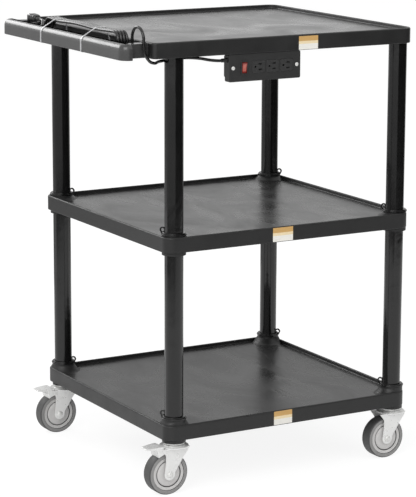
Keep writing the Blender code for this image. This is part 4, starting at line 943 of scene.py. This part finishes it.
def shelf(name, lip, left, radius_left, standing, rise=0.0):
    """A tray with a rounded lip and apron, hollow below but for its ribs and posts."""
    profile = arc((APRON_EDGE, APRON_EDGE - SHELF_HEIGHT), APRON_EDGE, 270, 180)
    profile += arc((LIP_EDGE, -LIP_EDGE), LIP_EDGE, 180, 90, 5)
    profile += arc((LIP_WIDTH - LIP_INNER_EDGE, -LIP_INNER_EDGE), LIP_INNER_EDGE, 90, 0)
    profile += arc((LIP_WIDTH + DECK_FILLET, DECK_FILLET - LIP_HEIGHT), DECK_FILLET, 180, 270)
    tray = loft([tray_ring(left, radius_left, inset, z) for inset, z in profile])
    deck_bottom = -LIP_HEIGHT - DECK_THICKNESS
    floor_z = -SHELF_HEIGHT - OVERRUN
    pocket = loft([tray_ring(left, radius_left, APRON_WALL, z) for z in (floor_z, deck_bottom)])
    low, high = floor_z - OVERRUN, deck_bottom + OVERRUN
    half = RIB_THICKNESS / 2
    pocket = cut(
        pocket, block((left, -half, low), (SHELF_RIGHT, half, high)),
        block((GRID_X - half, -SHELF_HALF_Y, low), (GRID_X + half, SHELF_HALF_Y, high)),
        *cross(POST_RADIUS, low, high),
    )
    if standing:
        boss_bottom = -SHELF_HEIGHT - BOSS_DROP
        heads = cross(POST_HEAD_RADIUS, -LIP_HEIGHT - DECK_THICKNESS / 2, rise, POST_HEAD_EDGE)
        bosses = cross(BOSS_RADIUS, boss_bottom, -SHELF_HEIGHT / 2)
        tray = union(tray, *heads, *flares(left, radius_left, rise), *bosses)
        sockets = cross(LEG_RADIUS + GAP, rise - SOCKET_DEPTH, rise + OVERRUN)
        if standing == "middle":
            sockets += cross(LEG_RADIUS + GAP, boss_bottom - OVERRUN, boss_bottom + SOCKET_DEPTH)
        else:
            sockets += cross(STEM_RADIUS + GAP, boss_bottom - OVERRUN, boss_bottom + STEM_LENGTH + GAP)
    else:
        sockets = cross(LEG_RADIUS + GAP, -SHELF_HEIGHT - OVERRUN, SOCKET_DEPTH - SHELF_HEIGHT)
    tray = cut(tray, pocket, *sockets)
    tray.transform(at(0, 0, lip))
    piece(f"{name}_tray", tray, "shelf_plastic", name, angle=35, weighted=True)
    tray.materials.append(LOOKS["deck_plastic"])
    for face in tray.polygons:
        if face.normal.z > 0.9 and abs(face.center.z - lip + LIP_HEIGHT) < 0.001:
            face.material_index = 1


def label(name, x0, x1, z0, z1):
    """A blank label with bands of three tones on the front of a shelf."""
    front = -SHELF_HALF_Y - LABEL_THICKNESS / 2
    levels = [z0 + (z1 - z0) * share for share in LABEL_SHARES]
    for tone, low, high in zip(LABEL_TONES, levels, levels[1:]):
        outline = [(x0, low), (x1, low), (x1, high), (x0, high)]
        mesh = shifted(prism([outline], LABEL_THICKNESS), 0, front)
        piece(f"{name}_label_{tone}", mesh, f"label_{tone}")


# Legs and push handle

def leg(name, x, y, foot, top, side):
    """A tube with a stepped flange at its foot and a small upright eyelet."""
    bore = LEG_RADIUS - LEG_WALL
    step = GAP + FLANGE_STEP_HEIGHT
    flange_top = GAP + FLANGE_HEIGHT
    end = GAP - SOCKET_DEPTH
    edge = FLANGE_EDGE
    profile = [(bore, top - foot), (LEG_RADIUS, top - foot), (LEG_RADIUS, flange_top)]
    profile += arc((FLANGE_STEP_RADIUS - edge, flange_top - edge), edge, 90, 0, 3)
    profile += [(FLANGE_STEP_RADIUS, step)]
    profile += arc((FLANGE_RADIUS - edge, step - edge), edge, 90, 0, 3)
    profile += [(FLANGE_RADIUS, GAP), (LEG_RADIUS, GAP), (LEG_RADIUS, end), (bore, end)]
    reach = side * EYELET_REACH
    centre = (reach, flange_top + EYELET_RISE)
    outline = arc(centre, EYELET_RADIUS, -40, 220, 24)
    outline += [(reach - EYELET_HOLE_RADIUS, step / 2), (reach + EYELET_HOLE_RADIUS, step / 2)]
    hole = arc(centre, EYELET_HOLE_RADIUS, 0, 345, 23)
    eyelet = moved(prism([outline, hole], EYELET_THICKNESS, EYELET_EDGE), turned(EYELET_TURN, "Z"))
    mesh = union(lathe(profile, 72), eyelet)
    mesh.transform(at(x, y, foot))
    piece(f"{name}_tube", mesh, "leg_plastic", name, angle=35, weighted=True)


def legs():
    middle_top = MIDDLE_LIP - SHELF_HEIGHT - BOSS_DROP + SOCKET_DEPTH - GAP
    top_top = TOP_LIP - SHELF_HEIGHT + SOCKET_DEPTH - GAP
    for name, (x, y) in PLACES.items():
        side = CORNERS[name][1]
        leg(f"lower_leg_{name}", x, y, BOTTOM_LIP + BOTTOM_POST_RISE, middle_top, side)
        leg(f"upper_leg_{name}", x, y, MIDDLE_LIP + MIDDLE_POST_RISE, top_top, side)


def push_handle():
    bottom = TOP_LIP - SHELF_HEIGHT
    profile = arc((RAIL_CORNER, bottom + RAIL_CORNER), RAIL_CORNER, 270, 180)
    for inset, z in arc((RAIL_ROUNDING, -RAIL_ROUNDING), RAIL_ROUNDING, 180, 90, 8):
        profile.append((inset, TOP_LIP + z * RAIL_FALL))
    inner = RAIL_OUTER + RAIL_WIDTH
    rings = []
    for inset, z in profile:
        half_y = SHELF_HALF_Y - inset
        outer = RAIL_END_RADIUS - inset
        near = max(0.0006 - inset, 0.0002)
        rings.append(level_ring((
            (RAIL_OUTER + inset, -half_y, outer), (inner - inset, -half_y, near),
            (inner - inset, half_y, near), (RAIL_OUTER + inset, half_y, outer),
        ), 10, z))
    arms = []
    for side in (-1, 1):
        low, high = sorted((side * ARM_OUTER, side * (ARM_OUTER - ARM_THICKNESS)))
        start = (RAIL_OUTER + RAIL_WIDTH / 2, low, bottom + OVERRUN)
        arms.append(block(start, (TOP_LEFT - GAP, high, TOP_LIP - OVERRUN), ARM_EDGE))
    mesh = union(loft(rings), *arms)
    # The rail's plastic carries painted light: a lighter tone than the trays' own black plastic.
    piece("push_rail", mesh, "handle_plastic", "push_handle", angle=35, weighted=True)


# Outlet box

def slab(size, back, front, radius, edge=0.0, steps=4, grow=0.0):
    """A block about the outlet box's own Z axis, grown on all sides, with rounded corners and front edge."""
    width, height = (length + 2 * grow for length in size)
    heights = [(0, back)]
    if edge:
        heights += [(edge - x, z) for x, z in arc((0, front - edge), edge, 0, 90, 3)]
    else:
        heights += [(0, front)]
    return loft([
        level_ring(rectangle(width / 2 - inset, height / 2 - inset, max(radius - inset, 0.0002)), steps, z)
        for inset, z in heights
    ])


def box_piece(name, mesh, material, replaces, body="cart", angle=35):
    piece(name, moved(mesh, BOX), material, replaces, body, angle, True)


def outlet_box():
    shell = slab(BOX_SIZE, -COVER_DEPTH, 0, COVER_CORNER, 0.0014, 6)
    opening = slab(SWITCH_SIZE, -COVER_DEPTH, OVERRUN, GAP, grow=BEZEL_WALL + GAP)
    window = slab(RECEPTACLE_SIZE, -COVER_DEPTH, OVERRUN, RECEPTACLE_CORNER, grow=WINDOW_SEAM)
    hole = cylinder(0.0023, -COVER_DEPTH, OVERRUN, 24)
    gland_hole = cylinder(0.0051, -OVERRUN, COVER_WALL + OVERRUN)
    back, corner = -COVER_DEPTH - OVERRUN, COVER_CORNER - COVER_WALL
    shell = cut(
        shell, slab(BOX_SIZE, back, -COVER_WALL, corner, grow=-COVER_WALL), shifted(opening, SWITCH_OFFSET),
        *(shifted(window, offset) for offset in RECEPTACLE_OFFSETS),
        *(shifted(hole, side * SCREW_OFFSET) for side in (-1, 1)),
        moved(gland_hole, at(-BOX_WIDTH / 2, GLAND_RISE, -COVER_DEPTH / 2) @ Z_TO_X),
    )
    box_piece("outlet_cover_shell", shell, "box_plastic", "outlet_cover")
    outlet_housing()
    for i, offset in enumerate(RECEPTACLE_OFFSETS):
        receptacle(i + 1, offset)
    switch()
    head = lathe([
        (0, 0.0020), (0.0022, 0.0019), (0.0036, 0.0014), (0.0044, 0.0005), (0.0045, 0.0),
        (0.002, 0.0), (0.002, -0.010), (0, -0.010),
    ], 40)
    slot = block((-0.0022, -0.0003, 0.0013), (0.0022, 0.0003, 0.003))
    head = cut(head, slot, moved(slot, turned(90, "Z")))
    for side, name in ((-1, "left"), (1, "right")):
        screw = moved(head, at(side * SCREW_OFFSET, 0, GAP) @ turned(18 + 50 * side, "Z"))
        box_piece(f"cover_screw_{name}_head", screw, "rivet_steel", f"cover_screw_{name}", angle=28)
    gland()


def outlet_housing():
    rim_back = -COVER_DEPTH + OVERRUN
    slack = COVER_WALL + GAP
    rim = slab(BOX_SIZE, rim_back, -slack, COVER_CORNER - COVER_WALL, grow=-slack)
    size = (BOX_WIDTH - 0.028, BOX_SIZE[1] - 0.012)
    body = moved(slab(size, -rim_back - OVERRUN, HOUSING_DEPTH, 0.004, 0.0025), turned(180, "X"))
    inside = slab(size, HOUSING_WALL - HOUSING_DEPTH, OVERRUN, 0.002, grow=-HOUSING_WALL)
    half = 0.0058
    notch = block(
        (-BOX_WIDTH / 2, GLAND_RISE - half, -COVER_DEPTH / 2 - half),
        (-BOX_WIDTH / 2 + COVER_WALL + 0.0046, GLAND_RISE + half, OVERRUN),
    )
    housing = cut(union(rim, body), inside, notch)
    box_piece("outlet_housing_body", housing, "box_plastic", "outlet_housing")


def receptacle(i, offset):
    """A socket face with its slots turned on their side."""
    body = slab(RECEPTACLE_SIZE, -0.024, 0.0008, RECEPTACLE_CORNER, 0.0006)
    seat = -COVER_WALL - GAP
    body = union(body, slab(RECEPTACLE_SIZE, seat - 0.003, seat, 0.001, grow=0.0012))
    slot = slab((0.0075, 0.002), -SLOT_DEPTH, OVERRUN, 0.0004)
    lead_in = slab((0.0095, 0.0040), -0.0006, OVERRUN, 0.0008)
    holes = []
    for side in (-1, 1):
        holes += [shifted(shape, SLOT_SHIFT, side * SLOT_PITCH / 2) for shape in (slot, lead_in)]
    ground = lathe([
        (0, OVERRUN), (0.0031, OVERRUN), (0.0031, 0.0004), (0.0025, 0),
        (0.0025, -SLOT_DEPTH), (0, -SLOT_DEPTH),
    ], 32)
    mesh = shifted(cut(body, *holes, shifted(ground, -GROUND_SHIFT)), offset)
    box_piece(f"receptacle_{i}_socket", mesh, "receptacle_black", f"receptacle_{i}", angle=28)


def switch():
    """A bezel through the cover and a red rocker that tips about X in it."""
    sleeve = slab(SWITCH_SIZE, -0.012, 0.0006, 0.0004, grow=BEZEL_WALL)
    rim = slab(SWITCH_SIZE, GAP, GAP + 0.0012, 0.0012, 0.0006, grow=BEZEL_WALL + 0.0015)
    hollow = slab(SWITCH_SIZE, -0.014, OVERRUN, GAP)
    pin_hole = moved(cylinder(0.0016, -0.0078, 0.0078, 24), at(0, 0, ROCKER_PIVOT) @ Z_TO_X)
    bezel = cut(union(sleeve, rim), hollow, pin_hole)
    box_piece("switch_frame", shifted(bezel, SWITCH_OFFSET), "box_plastic", "switch_bezel")
    end_radius = SWITCH_SIZE[1] / 2 - GAP
    half_angle = degrees(asin(ROCKER_FACE / end_radius))
    outline = arc((0, 0), end_radius, -half_angle, half_angle, 8)
    for x in np.linspace(0.0105, -0.0105, 9):
        outline.append((x, ROCKER_FACE - 0.0008 * cos(x / end_radius * pi / 2)))
    outline += arc((0, 0), end_radius, 180 - half_angle, 180 + half_angle, 8)
    paddle = prism([outline], SWITCH_SIZE[0] - 2 * GAP, 0.0004)
    paddle.transform(turned(ROCKER_TIP, "X") @ turned(90, "Z"))
    pin = moved(cylinder(0.0012, -0.00745, 0.00745, 24), Z_TO_X)
    rocker = shifted(joined([paddle, pin]), SWITCH_OFFSET, 0, ROCKER_PIVOT)
    box_piece("switch_paddle", rocker, "switch_red", "rocker_switch", "rocker")


def gland():
    """The strain relief: a flange and a ribbed taper that leads the cord out."""
    profile = [(0, GLAND_LENGTH), (0.0045, GLAND_LENGTH)]
    for k in range(4):
        low = GLAND_LENGTH - 0.0016 - 0.0025 * k
        wide = 0.0046 + 0.00008 * k
        neck = wide - 0.0006
        profile += [(wide, low + 0.0008), (wide, low), (neck, low - 0.0003), (neck, low - 0.0012)]
    profile += [
        (0.0048, 0.0031), (0.0053, 0.0030), (0.0058, 0.0025), (0.0058, 0), (0.0048, 0), (0.0048, -0.0068),
        (0, -0.0068),
    ]
    mesh = lathe(profile, 40)
    mesh.transform(turned(-90, "Y"))
    mesh.transform(at(BOX_X - BOX_WIDTH / 2 - GAP, BOX_FRONT + COVER_DEPTH / 2, BOX_Z + GLAND_RISE))
    piece("strain_relief", mesh, "cord_black", "cord_gland", angle=40)


# Casters

def fork_outline():
    height = CROWN_BOTTOM + 0.0015 - WHEEL_RADIUS
    front, rear = ([(x * WHEEL_RADIUS, z * height) for x, z in path] for path in (FORK_FRONT, FORK_REAR))
    front = [front[0]] + [(*point, 0.012) for point in front[1:]]
    rear = [(*point, 0.010) for point in rear[:-1]] + [rear[-1]]
    lobe = arc((0, 0), 0.014, 15, -195, 30)
    return rounded(front + lobe + rear, 5)


def caster(name):
    x, y = PLACES[name]
    here = at(x, y, 0)
    braked = x < 0
    stem_top = CAP_TOP + STEM_LENGTH
    mount = lathe([
        (0, stem_top), (STEM_RADIUS - 0.0008, stem_top), (STEM_RADIUS, stem_top - 0.0008),
        (STEM_RADIUS, CAP_TOP), (0.0250, CAP_TOP), (0.0257, CAP_TOP - 0.0003), (0.026, CAP_TOP - 0.001),
        (0.026, CAP_BOTTOM + 0.0006), (0.0254, CAP_BOTTOM), (0.020, CAP_BOTTOM), (0.020, RACE_TOP + GAP),
        (0.008, RACE_TOP + GAP), (0.008, CROWN_BOTTOM - GAP), (0.013, CROWN_BOTTOM - GAP),
        (0.013, CROWN_BOTTOM - 0.0032), (0.0118, CROWN_BOTTOM - 0.0043), (0, CROWN_BOTTOM - 0.0043),
    ], 56)
    piece(f"mount_{name}", moved(mount, here), "zinc", f"caster_mount_{name}", angle=35)
    crown_top = CROWN_BOTTOM + 0.003
    crown = lathe([
        (CROWN_HOLE, RACE_TOP), (0.0245, RACE_TOP), (0.0256, RACE_TOP - 0.0004), (0.026, RACE_TOP - 0.001),
        (0.0265, crown_top + 0.0006), (0.0285, crown_top), (CROWN_RADIUS - 0.0008, crown_top - 0.0001),
        (CROWN_RADIUS, crown_top - 0.0009), (CROWN_RADIUS, CROWN_BOTTOM + 0.0006),
        (CROWN_RADIUS - 0.0006, CROWN_BOTTOM), (CROWN_HOLE, CROWN_BOTTOM),
    ], 72)
    offset = FORK_INNER + FORK_THICKNESS / 2
    side_plate = prism([fork_outline()], FORK_THICKNESS, 0.0006)
    sides = [shifted(side_plate, -WHEEL_TRAIL, side * offset, WHEEL_RADIUS) for side in (-1, 1)]
    reach = offset + FORK_THICKNESS
    holes = [moved(cylinder(0.0043, -reach, reach), at(-WHEEL_TRAIL, 0, WHEEL_RADIUS) @ Z_TO_Y)]
    if braked:
        holes.append(moved(cylinder(0.0029, -reach, reach, 24), at(-PEDAL_BACK, 0, PEDAL_Z) @ Z_TO_Y))
    fork = moved(cut(union(crown, *sides), *holes), here)
    piece(f"fork_{name}_yoke", fork, "zinc", f"caster_fork_{name}", f"fork_{name}", 35, True)
    axle_line = at(x - WHEEL_TRAIL, y, WHEEL_RADIUS)
    seat = FORK_INNER + FORK_THICKNESS + GAP
    end = seat + 0.005
    half = [
        (0, end), (0.0030, end - 0.0002), (0.0056, end - 0.0013), (0.0070, end - 0.0032),
        (0.0075, seat + 0.0006), (0.0072, seat), (0.004, seat),
    ]
    rivet = lathe(half + [(radius, -height) for radius, height in reversed(half)], 40)
    rivet = moved(rivet, axle_line @ Z_TO_Y)
    piece(f"axle_{name}_rivet", rivet, "rivet_steel", f"caster_axle_{name}", f"fork_{name}", 40)
    wheel(name, axle_line)
    if braked:
        pedal(name, at(x - PEDAL_BACK, y, PEDAL_Z))


def wheel(name, axle_line):
    """A hub with a ring, a groove and a crowned cover on each face, and a tyre round it."""
    ring, width = RING_INNER, HUB_HALF_WIDTH
    half = [
        (RING_OUTER, width - 0.0006), (RING_OUTER - 0.0006, width), (ring + 0.0005, width),
        (ring, width - 0.0004), (ring - 0.0006, width - 0.0020), (ring - 0.0024, width - 0.0020),
        (ring - 0.003, width - 0.0003), (ring - 0.0035, width), (0.022, width + 0.0007),
        (0.0125, width + 0.0013), (0.0105, width + 0.0015), (0.0093, width + 0.0018),
        (0.009, width + 0.0024), (0.009, width + 0.0042), (0.0086, width + 0.0047), (0.0044, width + 0.0047),
    ]
    hub = lathe([(radius, -out) for radius, out in half] + half[::-1], 96)
    # Painted shade: the hub's groove faces take the tyre's dark grey, much darker than the hub around them.
    wheel_piece("hub", name, hub, axle_line, "hub_grey", "tyre_grey", ring - 0.0026, ring - 0.0003)
    edge = [(0.0405, 0.0155), (TYRE_BORE, TYRE_HALF_WIDTH), (0.0468, TYRE_HALF_WIDTH)]
    edge += arc((0.0474, 0.0126), 0.0034, 75, 0, 5) + [(WHEEL_RADIUS, 0.006)]
    tyre = lathe([(radius, -out) for radius, out in edge] + edge[::-1], 128)
    wheel_piece("tyre", name, tyre, axle_line, "tyre_grey", "tyre_side", TYRE_BORE, TREAD_START)


def wheel_piece(part, name, mesh, axle_line, material, second, start, end):
    """A part of a wheel, with a second material on its faces between two distances from the axle."""
    mesh = moved(mesh, axle_line @ Z_TO_Y)
    piece(f"{part}_{name}", mesh, material, f"wheel_{part}_{name}", f"wheel_{name}", 40)
    mesh.materials.append(LOOKS[second])
    middle = axle_line.translation
    for face in mesh.polygons:
        if start < hypot(face.center.x - middle.x, face.center.z - middle.z) < end:
            face.material_index = 1


def pedal(name, here):
    """A pressed pedal with turned-down sides, its shoe down on the tyre."""
    shoe = []
    for i in range(9):
        px = -0.020 + 0.014 * i / 8
        from_axle = WHEEL_TRAIL - PEDAL_BACK + px
        shoe.append((px, WHEEL_RADIUS + sqrt((WHEEL_RADIUS + 0.0004) ** 2 - from_axle**2) - PEDAL_Z))
    rim, top, thick, tip = PEDAL_RIM, PEDAL_TOP, PEDAL_THICKNESS, PEDAL_TIP
    shoulder = rim - 3 * thick
    outline = arc((0, 0), PEDAL_BARREL, -60, 90, 10)
    outline += [
        (rim, PEDAL_BARREL), (rim - thick / 2, top, 0.0016), (shoulder, top),
        (tip, top - PEDAL_SLOPE, 0.0012), (tip, top - PEDAL_SLOPE - thick, 0.0012),
        (-0.0228, top - 2 * thick, 0.004),
    ]
    plate = prism([rounded(outline + shoe)], 2 * PEDAL_HALF_WIDTH, 0.0005)
    with edited(plate) as bm:
        for place in np.linspace(shoulder, tip + 0.002, 6):
            geometry = bm.verts[:] + bm.edges[:] + bm.faces[:]
            bmesh.ops.bisect_plane(bm, geom=geometry, plane_co=(place, 0, 0), plane_no=(1, 0, 0))
    skirts = [skirt(side) for side in (-1, 1)]
    for mesh in (plate, *skirts):
        for vertex in mesh.vertices:
            along = max(0, (shoulder - vertex.co.x) / (shoulder - tip))
            vertex.co.y *= 1 - 0.28 * along ** 1.4
    reach = PEDAL_HALF_WIDTH + GAP + FORK_THICKNESS
    mesh = joined([union(plate, *skirts), moved(cylinder(0.0025, -reach, reach, 24), Z_TO_Y)])
    piece(f"pedal_{name}_lever", moved(mesh, here), "zinc", f"brake_pedal_{name}", f"pedal_{name}", 35, True)


def skirt(side):
    under = PEDAL_TOP - PEDAL_THICKNESS / 2
    tip = PEDAL_TIP + PEDAL_THICKNESS
    tip_z = under - PEDAL_SLOPE
    back = PEDAL_RIM - PEDAL_THICKNESS
    depth = tip_z - PEDAL_THICKNESS / 2 + PEDAL_BARREL
    outline = [(0, -PEDAL_BARREL), (0, 0), (back, 0), (back, under)]
    outline += [(PEDAL_RIM - 3 * PEDAL_THICKNESS, under), (tip, tip_z)]
    outline += [(tip * share, tip_z - PEDAL_THICKNESS / 2 - depth * drop) for share, drop in SKIRT_DROPS]
    mesh = prism([outline], SKIRT_THICKNESS, 0.0004)
    for vertex in mesh.vertices:
        vertex.co.y += side * (PEDAL_HALF_WIDTH - SKIRT_THICKNESS / 2 - GAP)
    return mesh


camera()
make_materials()
cord()
studio()
shelf("bottom_shelf", BOTTOM_LIP, SHELF_LEFT, SHELF_CORNER_LEFT, "bottom", BOTTOM_POST_RISE)
shelf("middle_shelf", MIDDLE_LIP, SHELF_LEFT, SHELF_CORNER_LEFT, "middle", MIDDLE_POST_RISE)
shelf("top_shelf", TOP_LIP, TOP_LEFT, TOP_CORNER_LEFT, None)
legs()
push_handle()
outlet_box()
for corner_name in CORNERS:
    caster(corner_name)
label("top", 0.0664, 0.1189, 1.0315, 1.0628)
label("middle", 0.0009, 0.0560, 0.5818, 0.6150)
label("bottom", 0.0084, 0.0590, 0.1340, 0.1672)

for hidden in ("handle_screw_front", "handle_screw_back", "housing_screw_left", "housing_screw_right"):
    node = frame["nodes"][hidden]
    node.data.materials.clear()
    node.data.materials.append(LOOKS["bright_steel"])
